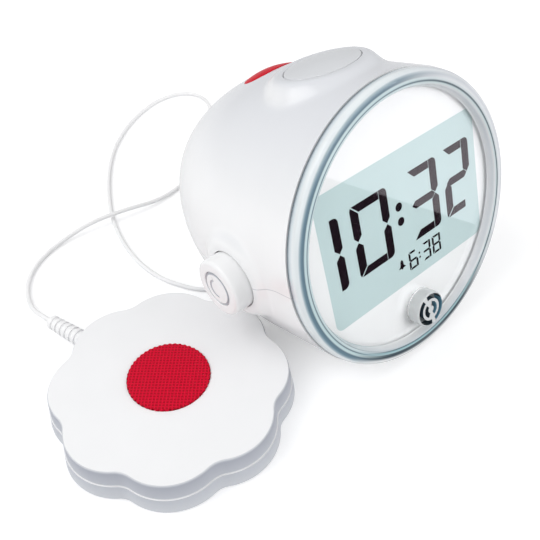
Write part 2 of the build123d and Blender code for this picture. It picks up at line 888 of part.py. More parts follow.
def bay_hollow():
    """The hollow of the cells and the grooved channel that the door slides in."""
    cells = table_block(bay_width, bay_length, base_height - overrun, bay_top, y=bay_middle_y)
    width = door_width + 2 * door_clearance
    length = door_length + door_travel + 2 * door_clearance
    channel = table_block(width, length, base_height - overrun, cell_floor, y=channel_middle_y)
    groove = table_block(width + 2 * door_tongue, length, base_height + tongue_drop - door_clearance, cell_floor,
                         y=channel_middle_y)
    return cells + channel + groove


def battery_door():
    """The battery door, whose tongues run in the channel's grooves."""
    plate = table_block(door_width, door_length, base_height, door_top, y=bay_middle_y)
    return plate + table_block(door_width + 2 * door_tongue, door_length, base_height + tongue_drop, door_top,
                               y=bay_middle_y)


def backup_batteries():
    """Four cells side by side."""
    pitch = 2 * cell_radius + cell_gap
    cells = []
    for index in range(cell_count):
        x = (index - (cell_count - 1) / 2) * pitch
        place = Pos(x, bay_middle_y, cell_floor + cell_radius) * Rot(90, 0, 0)
        cells.append(place * Cylinder(cell_radius, cell_length))
    return Compound(cells)


def battery_contacts():
    """The two contact strips at the ends of the bay."""
    reach = (bay_length - contact_thickness) / 2
    return Compound([
        table_block(bay_width, contact_thickness, cell_floor, bay_top, y=bay_middle_y + side * reach)
        for side in (-1, 1)
    ])


def clock_feet():
    """Four rubber feet, sunk in the underside."""
    top = base_height + foot_recess
    return Compound([table_bar(foot_radius, 0, top, x, y) for x, y in foot_places])


# Screw pillars

pillar_places = [(side * x, share * drum_depth) for x, share in zip(pillar_spread, pillar_depth_share)
                 for side in (-1, 1)]


def seam_above(y):
    """Height of the seam above the table, behind the knob's front edge."""
    return axis_height + (knob_drop - y * sin(lean)) / cos(lean)


def pillar_bars():
    """The four pillars, which end inside the wall at both ends."""
    core = on_drum(drum_solid(shell_wall - overlap, ring_depth))
    return [table_bar(pillar_radius, base_height, 2 * axis_height, x, y) & core for x, y in pillar_places]


def pillar_holes():
    """The stepped holes of the four housing screws."""
    holes = []
    for x, y in pillar_places:
        seam = seam_above(y)
        head = seam - screw_bite
        holes.append(table_bar(screw_head_radius + head_clearance, base_height - overrun, head, x, y))
        holes.append(table_bar(screw_radius + running_gap, head - overlap, seam + screw_bite + overrun, x, y))
    return holes


def housing_screws():
    """The four long screws that hold the shells together."""
    screws = []
    for x, y in pillar_places:
        head = seam_above(y) - screw_bite
        shank = table_bar(screw_radius, head - overlap, seam_above(y) + screw_bite, x, y)
        screws.append(shank + table_bar(screw_head_radius, head - screw_head_height, head, x, y))
    return Compound(screws)


# The two shells

def bare_housing():
    """Both shells as one, with their openings, before the seam parts them."""
    outer = drum_solid(0, ring_depth) + snooze_seat() + knob_boss()
    room = on_drum(drum_solid(shell_wall, ring_depth - overrun)) - below_table(base_height + base_wall)
    body = on_drum(outer) - room
    body += on_drum(knob_pad()) + on_drum(rear_ledge())
    body -= on_drum(snooze_opening()) + on_drum(red_opening())
    body -= on_drum(knob_recess())
    body -= on_drum(rear_cuts())
    return body - below_table(base_height)


def upper_shell(housing, pillars, holes):
    """The upper shell, with the posts of the button board."""
    shell = housing - on_drum(below_seam())
    below = on_drum(below_seam())
    for bar in pillars:
        shell += bar - below
    for post in board_posts():
        shell += on_drum(post)
    for hole in holes:
        shell -= hole
    return shell


def base_shell(housing, pillars, holes):
    """The lower shell, with the battery bay and the seats of the feet."""
    below = on_drum(below_seam())
    shell = housing & below
    for bar in pillars:
        shell += bar & below
    shell += bay_walls()
    shell -= bay_hollow()
    for x, y in foot_places:
        shell -= table_bar(foot_radius + foot_clearance, base_height - overrun, base_height + foot_recess, x, y)
    for hole in holes:
        shell -= hole
    return shell


# Bed shaker

def flower(grow):
    """The eight-lobed outline as tangent arcs, grown outwards by a distance."""
    half = pi / lobe_count
    lobe_centre = lobe_reach - lobe_radius
    along = lobe_centre * cos(half)
    valley_radius = (lobe_centre ** 2 - 2 * along * valley_reach + valley_reach ** 2 - lobe_radius ** 2) / (
        2 * (along + lobe_radius - valley_reach))
    valley_centre = valley_reach + valley_radius
    rise = valley_centre * sin(half)
    swing = degrees(atan2(rise, valley_centre * cos(half) - lobe_centre))
    turn = 180 / lobe_count
    edges = []
    for index in range(lobe_count):
        middle = lobe_angle + 2 * index * turn
        lobe = Vector(lobe_centre, 0).rotate(Axis.Z, middle)
        valley = Vector(valley_centre, 0).rotate(Axis.Z, middle + turn)
        edges.append(CenterArc(lobe, lobe_radius + grow, middle - swing, 2 * swing))
        sweep_angle = 2 * (swing - turn)
        edges.append(CenterArc(valley, valley_radius - grow, middle + swing + 180, -sweep_angle))
    return make_face(edges)


def shaker_slab(low, low_grow, high, high_grow):
    """A lobed slab between two heights, drafted from one outline to the other."""
    place = Pos(*shaker_place, 0)
    faces = [Pos(0, 0, low) * flower(low_grow), Pos(0, 0, high) * flower(high_grow)]
    return place * loft(faces, ruled=True)


def shaker_bar(radius, low, high, x=0, y=0):
    """A round upright bar in the shaker, placed from its centre."""
    return table_bar(radius, low, high, shaker_place[0] + x, shaker_place[1] + y)


def shaker_screw_places():
    """Where the shaker's screws are, from its centre."""
    places = []
    for index in range(4):
        turn = radians(shaker_screw_angle + 90 * index)
        places.append((shaker_screw_circle * cos(turn), shaker_screw_circle * sin(turn)))
    return places


shaker_inner_top = shaker_height - shaker_wall
screw_seat = 2 * shaker_wall


def relief_passage():
    """The hole of the strain relief through the shaker's side."""
    return relief_piece([(relief_start - overrun, 0), (relief_start - overrun, relief_flange_radius + relief_clearance),
                         (relief_neck - 2 * shaker_wall - relief_clearance, relief_flange_radius + relief_clearance),
                         (relief_neck - 2 * shaker_wall - relief_clearance, relief_root_radius + relief_clearance),
                         (relief_tip, relief_root_radius + relief_clearance), (relief_tip, 0)])


def shaker_top():
    """The upper half of the shaker's casing."""
    high = shaker_height + shaker_crown
    casing = shaker_slab(shaker_split, top_flare, high, 0)
    rim = casing.faces().sort_by(Axis.Z)[-1].edges()
    casing = fillet(rim, shaker_edge_round)
    crown = (lobe_reach ** 2 + shaker_crown ** 2) / (2 * shaker_crown)
    casing &= Pos(*shaker_place, high - crown) * Sphere(crown)
    casing -= shaker_slab(shaker_split - overrun, -shaker_wall, shaker_inner_top, -shaker_wall)
    for x, y in shaker_screw_places():
        casing += shaker_bar(shaker_boss_radius, shaker_split, shaker_inner_top + overlap, x, y)
    for x, y in shaker_screw_places():
        casing -= shaker_bar(screw_radius + running_gap, shaker_split - overrun, screw_seat + shaker_screw_length,
                             x, y)
    casing -= shaker_bar(shaker_pad_radius + running_gap, high - shaker_pad_recess, high + overrun)
    return casing - relief_passage()


def shaker_base():
    """The lower half of the shaker's casing, with the motor's cradle."""
    shell = shaker_slab(0, foot_flare, shaker_split, top_flare + seam_ledge)
    rim = shell.faces().sort_by(Axis.Z)[0].edges()
    shell = fillet(rim, shaker_foot_round)
    shell -= shaker_slab(shaker_wall, -shaker_wall, shaker_split + overrun, -shaker_wall)
    for x, y in shaker_screw_places():
        shell += shaker_bar(shaker_boss_radius, shaker_wall - overlap, shaker_split, x, y)
    for x, y in shaker_screw_places():
        shell -= shaker_bar(screw_head_radius + running_gap, -overrun, screw_seat, x, y)
        shell -= shaker_bar(screw_radius + running_gap, screw_seat - overlap, shaker_split + overrun, x, y)
    return shell - relief_passage()


def shaker_screws():
    """The four screws of the shaker."""
    screws = []
    for x, y in shaker_screw_places():
        head = shaker_bar(screw_head_radius, screw_seat - screw_head_height, screw_seat, x, y)
        screws.append(head + shaker_bar(screw_radius, screw_seat - overlap, screw_seat + shaker_screw_length - overlap,
                                        x, y))
    return Compound(screws)


def shaker_pad():
    """The red pad, sunk in the shaker's top."""
    high = shaker_height + shaker_crown
    pad = shaker_bar(shaker_pad_radius, high - shaker_pad_recess, high + shaker_pad_proud)
    return fillet(pad.faces().sort_by(Axis.Z)[-1].edges(), shaker_pad_round)


motor_axis = shaker_wall + (shaker_inner_top - shaker_wall) / 2
motor_end = motor_start + motor_length
weight_start = motor_end + weight_gap


def along_motor(radius, start, end):
    """A round bar along the motor's axis, in the shaker's frame."""
    place = Pos(shaker_place[0] + (start + end) / 2, shaker_place[1], motor_axis) * Rot(0, 90, 0)
    return place * Cylinder(radius, end - start)


def shaker_motor():
    """The flat-sided motor."""
    middle = (motor_start + motor_end) / 2
    return table_block(motor_length, motor_width, motor_axis - motor_height / 2, motor_axis + motor_height / 2,
                       shaker_place[0] + middle, shaker_place[1])


def motor_cradle():
    """The rubber cradle that the motor sits in."""
    middle = (motor_start + motor_end) / 2
    low = shaker_wall
    cradle = table_block(motor_length, motor_width + 2 * cradle_wall, low, low + cradle_height,
                         shaker_place[0] + middle, shaker_place[1])
    hollow = table_block(motor_length + 2 * overrun, motor_width, motor_axis - motor_height / 2,
                         low + cradle_height + overrun, shaker_place[0] + middle, shaker_place[1])
    return cradle - hollow


def eccentric_weight():
    """The motor's shaft with its half-round weight, heavy side down."""
    shaft = along_motor(motor_shaft_radius, motor_end, motor_end + motor_shaft_length)
    weight = along_motor(weight_radius, weight_start, weight_start + weight_length)
    weight -= table_block(2 * weight_length + motor_length, 4 * weight_radius, motor_axis, 2 * shaker_height,
                          shaker_place[0] + weight_start, shaker_place[1])
    weight += along_motor(weight_hub_radius, weight_start, weight_start + weight_length)
    return weight + shaft


# Strain relief and cord

def relief_piece(points):
    """A turned piece along the strain relief's axis, from (reach, radius) points."""
    turned = revolve(make_face(Polyline(*points, close=True)), Axis.X)
    return Pos(*shaker_place, relief_height) * Rot(0, 0, relief_angle) * turned


def shaker_relief():
    """The ribbed strain relief, with a flange inside the casing's wall."""
    flange_end = relief_neck - 2 * shaker_wall - 2 * relief_clearance
    points = [(relief_start, 0), (relief_start, relief_flange_radius),
              (flange_end, relief_flange_radius), (flange_end, relief_root_radius),
              (relief_neck, relief_root_radius)]
    pitch = (relief_tip - relief_neck) / (relief_ribs + 1)
    groove = pitch * relief_groove_share
    for index in range(relief_ribs):
        start = relief_neck + (index + 1) * pitch - groove / 2
        share = (start - relief_neck) / (relief_tip - relief_neck)
        radius = relief_root_radius + (relief_tip_radius - relief_root_radius) * share
        points += [(start, radius), (start, radius - relief_groove),
                   (start + groove, radius - relief_groove), (start + groove, radius)]
    points += [(relief_tip - relief_groove, relief_tip_radius), (relief_tip, relief_tip_radius - relief_groove),
               (relief_tip, 0)]
    return relief_piece(points)


def corner_radii(points):
    """The arc at each corner of a route: 0.45 of the shorter run, over the tangent of half the turn."""
    radii = []
    for before, here, after in zip(points, points[1:], points[2:]):
        turn = radians((here - before).get_angle(after - here))
        run = min((here - before).length, (after - here).length)
        radii.append(0.45 * run / tan(turn / 2))
    return radii


def cord_section(start, heading):
    """The cord's section, which a few sides keep light, square to its heading."""
    return Plane(origin=start, z_dir=heading) * RegularPolygon(cord_diameter / 2, cord_side_count)


def cord_tube(name, route):
    """A tube along straight runs joined by tangent arcs."""
    points = [Vector(*p) for p in route]
    radii = corner_radii(points)
    path = FilletPolyline(*points, radius=radii)
    section = cord_section(points[0], points[1] - points[0])
    tube = sweep(section, path=path)
    expected = section.area * path.length
    print(name, "length", round(path.length, 1), "mm, tightest arc", round(min(radii), 1),
          "mm, volume over section times length", round(tube.volume / expected, 4))
    print("   radii", [round(r, 1) for r in radii])
    return tube


relief_heading = Vector(1, 0, 0).rotate(Axis.Z, relief_angle)
lead_exit = Vector(*shaker_place, relief_height) + relief_heading * relief_tip
coil_floor = tie_thickness + cord_diameter / 2
coil_edge = coil_middle_radius + coil_half_turns * coil_pitch / 4
coil_top = coil_floor + (coil_layers - 1) * coil_pitch
coil_start = Vector(coil_centre[0], coil_centre[1] - coil_edge, coil_floor)
coil_end = Vector(coil_centre[0], coil_centre[1] + coil_edge, coil_top)
lead_end = coil_start - Vector(cord_diameter, 0, 0)
tail_start = coil_end - Vector(cord_diameter, 0, 0)
plug_heading = table_point(0, 0, 1) - table_point(0, 0, 0)
plug_end = table_point(shaker_socket_x, socket_y, socket_face + grip_length + plug_relief_length)


def cord_lead():
    """The stretch from the shaker to the coil."""
    route = [lead_exit, lead_exit + relief_heading * lead_leave, *lead_points,
             lead_end - Vector(lead_approach, 0, 0), lead_end]
    return cord_tube("cord_lead", route)


def cord_tail():
    """The stretch from the coil to the plug."""
    route = [tail_start, tail_start - Vector(tail_leave, 0, 0), *tail_points,
             plug_end + plug_heading * tail_approach, plug_end]
    return cord_tube("cord_tail", route)


def coil_nodes():
    """Points and headings of the coil's path: one at each half turn, and one halfway up each climb."""
    centre = Vector(*coil_centre, 0)
    nodes = []
    radius, height, inwards, side = coil_edge, coil_floor, -1, -1
    for layer in range(coil_layers):
        for index in range(coil_half_turns + 1):
            heading = Vector(-side, 0, 0)
            nodes.append((centre + Vector(0, side * radius, height), heading))
            if index < coil_half_turns:
                radius += inwards * coil_pitch / 2
                side = -side
        if layer < coil_layers - 1:
            bend = radius + inwards * coil_pitch / 4
            climb = Vector(0, -side * pi * radius, coil_pitch).normalized()
            nodes.append((centre + Vector(-side * bend if side < 0 else -bend, 0, height + coil_pitch / 2), climb))
            side = -side
            height += coil_pitch
            inwards = -inwards
    return nodes


def biarc(start, start_way, end, end_way):
    """Two arcs that meet smoothly and keep the heading at both ends."""
    across = end - start
    total = start_way + end_way
    share = 2 * (1 - start_way.dot(end_way))
    reach = (sqrt(across.dot(total) ** 2 + share * across.dot(across)) - across.dot(total)) / share
    middle = (start + end + (start_way - end_way) * reach) / 2
    meet = (end_way * -1) * reach + end - middle
    return [TangentArc(start, middle, tangent=start_way), TangentArc(middle, end, tangent=meet)]


def coil_path():
    """The coil's path: arcs between two short straight ends."""
    nodes = coil_nodes()
    arcs = [Line(lead_end, coil_start)]
    for (start, start_way), (end, end_way) in zip(nodes, nodes[1:]):
        arcs += biarc(start, start_way, end, end_way)
    return arcs + [Line(coil_end, tail_start)]


def least_gap(arcs):
    """The least gap of the coil to itself, measured on points along its path."""
    spacing, points, travel = [], [], [0.0]
    for arc in arcs:
        for index in range(gap_sample_count):
            points.append(arc @ (index / gap_sample_count))
            if len(points) > 1:
                travel.append(travel[-1] + (points[-1] - points[-2]).length)
    for i, first in enumerate(points):
        for j in range(i + 1, len(points)):
            if travel[j] - travel[i] > 4 * cord_diameter:
                spacing.append((points[j] - first).length)
    return min(spacing) - cord_diameter


def cord_coil():
    """The coil: one unbroken tube whose loops spiral in and out, layer on layer."""
    arcs = coil_path()
    path = Wire(arcs)
    section = cord_section(lead_end, Vector(1, 0, 0))
    tube = sweep(section, path=path)
    expected = section.area * path.length
    print("cord_coil length", round(path.length, 1), "mm, least gap to itself", round(least_gap(arcs), 2),
          "mm, volume over section times length", round(tube.volume / expected, 4))
    return tube


def coil_tie():
    """The band round the coil's turns, on the side where no turn climbs."""
    inner = coil_middle_radius - (coil_edge - coil_middle_radius) - cord_diameter / 2 - tie_gap
    outer = coil_edge + cord_diameter / 2 + tie_gap
    high = coil_top + cord_diameter / 2 + tie_gap
    band = table_block(outer - inner + 2 * tie_thickness, tie_width, 0, high + tie_thickness)
    hole = table_block(outer - inner, 2 * tie_width, tie_thickness, high)
    return Pos(coil_centre[0] + (inner + outer) / 2, coil_centre[1], 0) * (band - hole)


def plug_grip():
    """The moulded grip of the jack plug, with its own strain relief."""
    near = socket_face
    bend = near + grip_length
    section = make_face(Polyline(
        (0, -near), (grip_radius, -near), (grip_radius, -(near + grip_length / 2)), (grip_tip_radius, -bend),
        (plug_relief_radius, -(bend + plug_relief_length)), (0, -(bend + plug_relief_length)), close=True,
    ))
    return on_drum(Pos(shaker_socket_x, socket_y, 0) * revolve(Plane.XZ * section, Axis.Z))


def plug_pin():
    """The metal pin of the jack plug, in its socket."""
    near = socket_face - plug_pin_length
    pin = disc(plug_pin_radius, near, socket_face, shaker_socket_x, socket_y)
    return on_drum(chamfer(pin.faces().sort_by(Axis.Z)[-1].edges(), plug_pin_radius / 3))


# Pieces that lie on the cord, which the object's own middle leaves out
on_cord = ["cord_lead", "cord_coil", "cord_tail", "coil_tie", "plug_grip", "plug_pin"]


def build():
    """Makes every node and writes it to its own file, with the object's middle over the origin."""
    housing, pillars, holes = bare_housing(), pillar_bars(), pillar_holes()
    parts = {
        "upper_shell": upper_shell(housing, pillars, holes),
        "base_shell": base_shell(housing, pillars, holes),
        "time_button": rear_button(-1),
        "alarm_button": rear_button(1),
    }
    makers = [
        front_lens, dial_plate, lcd_panel, lcd_backlight, display_frame, main_board, board_screws, board_parts,
        sounder_grille, sounder, snooze_button, red_button, button_board, top_switches, side_knob, knob_button,
        encoder_shaft, knob_encoder, encoder_nut, rear_cover, cover_screws, rear_board, rear_switches,
        volume_slider, shaker_socket, power_socket, battery_door, backup_batteries, battery_contacts, clock_feet,
        housing_screws, shaker_top, shaker_base, shaker_screws, shaker_pad, shaker_motor, motor_cradle,
        eccentric_weight, shaker_relief, cord_lead, cord_coil, cord_tail, coil_tie, plug_grip, plug_pin,
    ]
    for maker in makers:
        parts[maker.__name__] = maker()
    boxes = [shape.bounding_box() for name, shape in parts.items() if name not in on_cord]
    middle_x = (min(box.min.X for box in boxes) + max(box.max.X for box in boxes)) / 2
    middle_y = (min(box.min.Y for box in boxes) + max(box.max.Y for box in boxes)) / 2
    print("ring centre over", round(-middle_x, 3), round(-middle_y, 3))
    os.makedirs("parts", exist_ok=True)
    for name, shape in parts.items():
        export_step(Pos(-middle_x, -middle_y) * shape, f"parts/{name}.step")


build()
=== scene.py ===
# %% [markdown]
# # Bed shaker alarm clock
# A bedside clock whose round face leans back in a clear rim, with a lobed shaker on a cord.
# The imported part is the fixed frame. Everything here is in metres, in that frame. This first
# cell loads it.

from math import cos, hypot, pi, radians, sin, sqrt, tan

import bmesh
import bpy
from mathutils import Matrix, Vector


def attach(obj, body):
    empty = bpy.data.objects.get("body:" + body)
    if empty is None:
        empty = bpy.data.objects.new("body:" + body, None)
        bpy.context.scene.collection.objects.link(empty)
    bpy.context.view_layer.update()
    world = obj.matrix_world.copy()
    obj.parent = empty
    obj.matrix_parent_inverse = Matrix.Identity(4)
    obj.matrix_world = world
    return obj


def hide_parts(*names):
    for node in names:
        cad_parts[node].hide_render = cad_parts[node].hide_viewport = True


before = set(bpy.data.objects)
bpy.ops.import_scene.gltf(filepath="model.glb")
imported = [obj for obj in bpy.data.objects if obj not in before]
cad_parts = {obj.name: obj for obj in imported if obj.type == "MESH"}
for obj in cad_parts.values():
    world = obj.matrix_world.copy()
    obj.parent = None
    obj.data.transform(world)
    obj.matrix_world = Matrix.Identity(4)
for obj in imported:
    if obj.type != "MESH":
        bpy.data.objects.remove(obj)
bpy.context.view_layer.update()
MM = 0.001

# %% [markdown]
# ## Places
# The drum leans back about the centre of its front ring. Its own frame has x to the right,
# y up the face and z out of the face, in millimetres, and the table's frame has its origin
# on the table below the ring's centre. Pieces are modelled in one of these two frames, where
# their numbers are plain, and a matrix takes the finished mesh to its place in the scene.

# %% Frames of the drum, the knob and the table
RING = Vector((0.040172, -0.046477, 0.0))
LEAN = radians(15.5)
AXIS_HEIGHT = 54.2987
UP_FACE = Vector((0, sin(LEAN), cos(LEAN)))
OUT = Vector((0, -cos(LEAN), sin(LEAN)))
AXIS_POINT = RING + Vector((0, 0, AXIS_HEIGHT * MM))
SCALE = Matrix.Scale(MM, 4)
TABLE = Matrix.Translation(RING) @ SCALE
DRUM = Matrix.Translation(AXIS_POINT) @ Matrix((Vector((1, 0, 0)), UP_FACE, OUT)).transposed().to_4x4() @ SCALE
DRUM_RADIUS, DRUM_DEPTH, WALL, BASE_HEIGHT = 54.6, 103.0, 2.2, 2.0
KNOB_DROP, KNOB_DEPTH = -4.4, 37.2
KNOB = DRUM @ Matrix.Translation((0, KNOB_DROP, -KNOB_DEPTH)) @ Matrix.Rotation(-pi / 2, 4, "Y")
SHAKER_PLACE = (-89.6, 33.0)
SHAKER = TABLE @ Matrix.Translation((*SHAKER_PLACE, 0))
print("ring's centre", [round(c, 4) for c in AXIS_POINT])

# %% [markdown]
# ## Camera
# The camera stands close, so the round face shows as a wide oval. Its angle, distance and
# lens were fitted to the outlines of the ring, the display and the shaker.

# %% Camera
AZIMUTH, ELEVATION, ROLL = radians(-39.05), radians(43.54), radians(-3.26)
TARGET = TABLE @ Vector((-42.68, 29.07, 40))
DISTANCE = 262.12 * MM

back = Vector((sin(AZIMUTH) * cos(ELEVATION), -cos(AZIMUTH) * cos(ELEVATION), sin(ELEVATION)))
level = Vector((cos(AZIMUTH), sin(AZIMUTH), 0))
rise = back.cross(level)
right = level * cos(ROLL) + rise * sin(ROLL)
up = rise * cos(ROLL) - level * sin(ROLL)
camera_data = bpy.data.cameras.new("camera")
camera_data.lens, camera_data.sensor_width = 47.78, 36
camera_data.clip_start, camera_data.clip_end = 0.01, 20
camera = bpy.data.objects.new("camera", camera_data)
bpy.context.collection.objects.link(camera)
camera.matrix_world = Matrix.Translation(TARGET + back * DISTANCE) @ Matrix(
    (right, up, back)).transposed().to_4x4()
bpy.context.scene.camera = camera
print("camera at", [round(c, 4) for c in camera.matrix_world.translation])

# %% [markdown]
# ## Materials
# Moulded plastic is never one flat colour: it drifts a little, and its gloss is uneven. The
# helper finish builds that from noise on Object coordinates, with a fine grain in the bump, so
# each finish of the clock is one call with its own colour and roughness. The small helpers
# before it each add one kind of shader node.

# %% Shader helpers


def shader_math(nodes, links, operation, *values):
    """A Math node whose inputs are sockets or numbers, and its output."""
    node = nodes.new("ShaderNodeMath")
    node.operation = operation
    for socket, value in zip(node.inputs, values):
        if isinstance(value, (int, float)):
            socket.default_value = value
        else:
            links.new(value, socket)
    return node.outputs[0]


def eased(nodes, links, value, source, target=(0.0, 1.0), soft=True):
    """A value taken from one range to another and held at the ends, which are soft or sharp."""
    node = nodes.new("ShaderNodeMapRange")
    node.interpolation_type = "SMOOTHSTEP" if soft else "LINEAR"
    for socket, number in zip(("From Min", "From Max", "To Min", "To Max"), (*source, *target)):
        node.inputs[socket].default_value = number
    links.new(value, node.inputs["Value"])
    return node.outputs["Result"]


def mixed(nodes, links, share, first, second):
    """A colour between two others, given as numbers or sockets, at a share from 0 to 1."""
    node = nodes.new("ShaderNodeMix")
    node.data_type = "RGBA"
    links.new(share, node.inputs[0])
    for socket, color in ((node.inputs[6], first), (node.inputs[7], second)):
        if isinstance(color, tuple):
            socket.default_value = (*color, 1)
        else:
            links.new(color, socket)
    return node.outputs[2]


def mixed_shader(nodes, links, share, first, second):
    """The first shader where the share is 0, and the second where it is 1."""
    node = nodes.new("ShaderNodeMixShader")
    for socket, source in zip(node.inputs, (share, first, second)):
        links.new(source, socket)
    return node.outputs[0]


def repaint(material, share, color):
    """Turns a finish's colour into another one where the share is 1."""
    nodes, links = material.node_tree.nodes, material.node_tree.links
    base = nodes["Principled BSDF"].inputs["Base Color"]
    links.new(mixed(nodes, links, share, base.links[0].from_socket, color), base)


print("shader helpers", [one.__name__ for one in (shader_math, eased, mixed, mixed_shader, repaint)])

# %% Moulded finishes
DRIFT_SCALE, GLOSS_DRIFT, GRAIN_SCALE, GRAIN_DEPTH = 60, 0.03, 4000, 0.1 * MM


def finish(name, color, roughness, grain=0.0, drift=0.02, **sockets):
    """A moulded surface with a slight colour drift, uneven gloss and fine grain."""
    material = bpy.data.materials.new(name)
    material.use_nodes = True
    nodes, links = material.node_tree.nodes, material.node_tree.links
    shader = nodes["Principled BSDF"]
    for socket, value in sockets.items():
        shader.inputs[socket.replace("_", " ")].default_value = value
    place = nodes.new("ShaderNodeTexCoord")
    broad = nodes.new("ShaderNodeTexNoise")
    broad.inputs["Scale"].default_value = DRIFT_SCALE
    broad.inputs["Detail"].default_value = 3
    links.new(place.outputs["Object"], broad.inputs["Vector"])
    if drift:
        darker = tuple(c * (1 - drift) for c in color)
        lighter = tuple(min(1.0, c * (1 + drift)) for c in color)
        links.new(mixed(nodes, links, broad.outputs["Fac"], darker, lighter), shader.inputs["Base Color"])
    else:
        shader.inputs["Base Color"].default_value = (*color, 1)
    gloss = (max(0.0, roughness - GLOSS_DRIFT), roughness + GLOSS_DRIFT)
    links.new(eased(nodes, links, broad.outputs["Fac"], (0.0, 1.0), gloss, soft=False),
              shader.inputs["Roughness"])
    if grain:
        fine = nodes.new("ShaderNodeTexNoise")
        fine.inputs["Scale"].default_value = GRAIN_SCALE
        links.new(place.outputs["Object"], fine.inputs["Vector"])
        bump = nodes.new("ShaderNodeBump")
        bump.inputs["Strength"].default_value = grain
        bump.inputs["Distance"].default_value = GRAIN_DEPTH
        links.new(fine.outputs["Fac"], bump.inputs["Height"])
        links.new(bump.outputs["Normal"], shader.inputs["Normal"])
    return material


white_gloss = finish("white_gloss", (0.88, 0.884, 0.892), 0.22, grain=0.02)
shell_gloss_seam_and_painted_shade = finish("shell_gloss_seam_and_painted_shade", (0.88, 0.884, 0.892), 0.22)
white_satin_with_painted_shade = finish("white_satin_with_painted_shade", (0.83, 0.834, 0.845), 0.4, grain=0.08)
pale_grey = finish("pale_grey", (0.66, 0.675, 0.70), 0.3, grain=0.05)
red_gloss = finish("red_gloss", (0.60, 0.0, 0.016), 0.32, Specular_IOR_Level=0.05)
dial_white = finish("dial_white", (0.92, 0.92, 0.923), 0.5)
display_glass = finish("display_glass", (0.565, 0.69, 0.695), 0.4, drift=0.01,
                       Specular_IOR_Level=0.0)
segment_black = finish("segment_black", (0.012, 0.006, 0.01), 0.5, Specular_IOR_Level=0.0)
cord_white = finish("cord_white", (0.88, 0.88, 0.885), 0.42, grain=0.08)
inner_plastic = finish("inner_plastic", (0.62, 0.62, 0.63), 0.5, grain=0.2)
dark_plastic = finish("dark_plastic", (0.02, 0.02, 0.025), 0.35, grain=0.2)
circuit_board = finish("circuit_board", (0.03, 0.16, 0.09), 0.35, grain=0.1)
steel = finish("steel", (0.55, 0.56, 0.58), 0.3, grain=0.1, Metallic=1.0)
brass = finish("brass", (0.62, 0.45, 0.2), 0.3, grain=0.1, Metallic=1.0)
foot_rubber = finish("foot_rubber", (0.3, 0.3, 0.31), 0.7, grain=0.3)
cell_jacket = finish("cell_jacket", (0.3, 0.31, 0.33), 0.35, Metallic=0.6)
print("finishes", len(bpy.data.materials))

# %% [markdown]
# Clear plastic bends light, and light that falls through it has to reach the dial. The
# Principled shader at full transmission gives the bending, and for shadow rays it gives way
# to a Transparent shader, because a traced shadow through glass would leave the dial grey.

# %% Clear plastic
ACRYLIC_IOR = 1.49


def clear_finish(name, color):
    """Clear acrylic that casts no shadow."""
    material = finish(name, color, 0.02, drift=0.0, Transmission_Weight=1.0, IOR=ACRYLIC_IOR)
    nodes, links = material.node_tree.nodes, material.node_tree.links
    shader, output = nodes["Principled BSDF"], nodes["Material Output"]
    rays = nodes.new("ShaderNodeLightPath")
    through = nodes.new("ShaderNodeBsdfTransparent")
    links.new(mixed_shader(nodes, links, rays.outputs["Is Shadow Ray"],
                           shader.outputs[0], through.outputs[0]), output.inputs["Surface"])
    return material


clear_acrylic = clear_finish("clear_acrylic", (0.985, 0.995, 1.0))
frosted_acrylic = finish("frosted_acrylic", (0.90, 0.93, 0.94), 0.05, Transmission_Weight=0.25,
                         IOR=ACRYLIC_IOR)
print("clear plastics", clear_acrylic.name, frosted_acrylic.name)

# %% [markdown]
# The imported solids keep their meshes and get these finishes. Most of them are replaced later
# by smoother pieces, and the ones inside the drum stay as they are.

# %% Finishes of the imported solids
NODE_FINISHES = [
    (white_gloss, ["upper_shell", "base_shell", "rear_cover", "side_knob", "knob_button", "battery_door"]),
    (pale_grey, ["snooze_button", "time_button", "alarm_button", "volume_slider"]),
    (red_gloss, ["red_button", "shaker_pad"]),
    (dial_white, ["dial_plate"]),
    (display_glass, ["lcd_panel"]),
    (inner_plastic, ["lcd_backlight", "display_frame"]),
    (clear_acrylic, ["front_lens", "sounder_grille"]),
    (white_satin_with_painted_shade, ["shaker_top", "shaker_base"]),
    (cord_white, ["shaker_relief", "coil_tie", "plug_grip", "cord_lead", "cord_coil", "cord_tail"]),
    (dark_plastic, ["sounder", "board_parts", "top_switches", "rear_switches",
                    "shaker_socket", "power_socket"]),
    (circuit_board, ["main_board", "button_board", "rear_board"]),
    (steel, ["board_screws", "cover_screws", "housing_screws", "shaker_screws", "knob_encoder", "encoder_nut",
             "encoder_shaft", "battery_contacts", "shaker_motor", "plug_pin"]),
    (brass, ["eccentric_weight"]),
    (foot_rubber, ["clock_feet", "motor_cradle"]),
    (cell_jacket, ["backup_batteries"]),
]
for material, names in NODE_FINISHES:
    for name in names:
        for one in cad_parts[name].material_slots:
            one.material = material
print("packed solids with a finish", sum(len(names) for material, names in NODE_FINISHES))

# %% [markdown]
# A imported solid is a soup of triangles, which shades flat. A Weld modifier joins them and an
# edge-angle rule rounds the shading of the curved faces, without a change to the mesh.

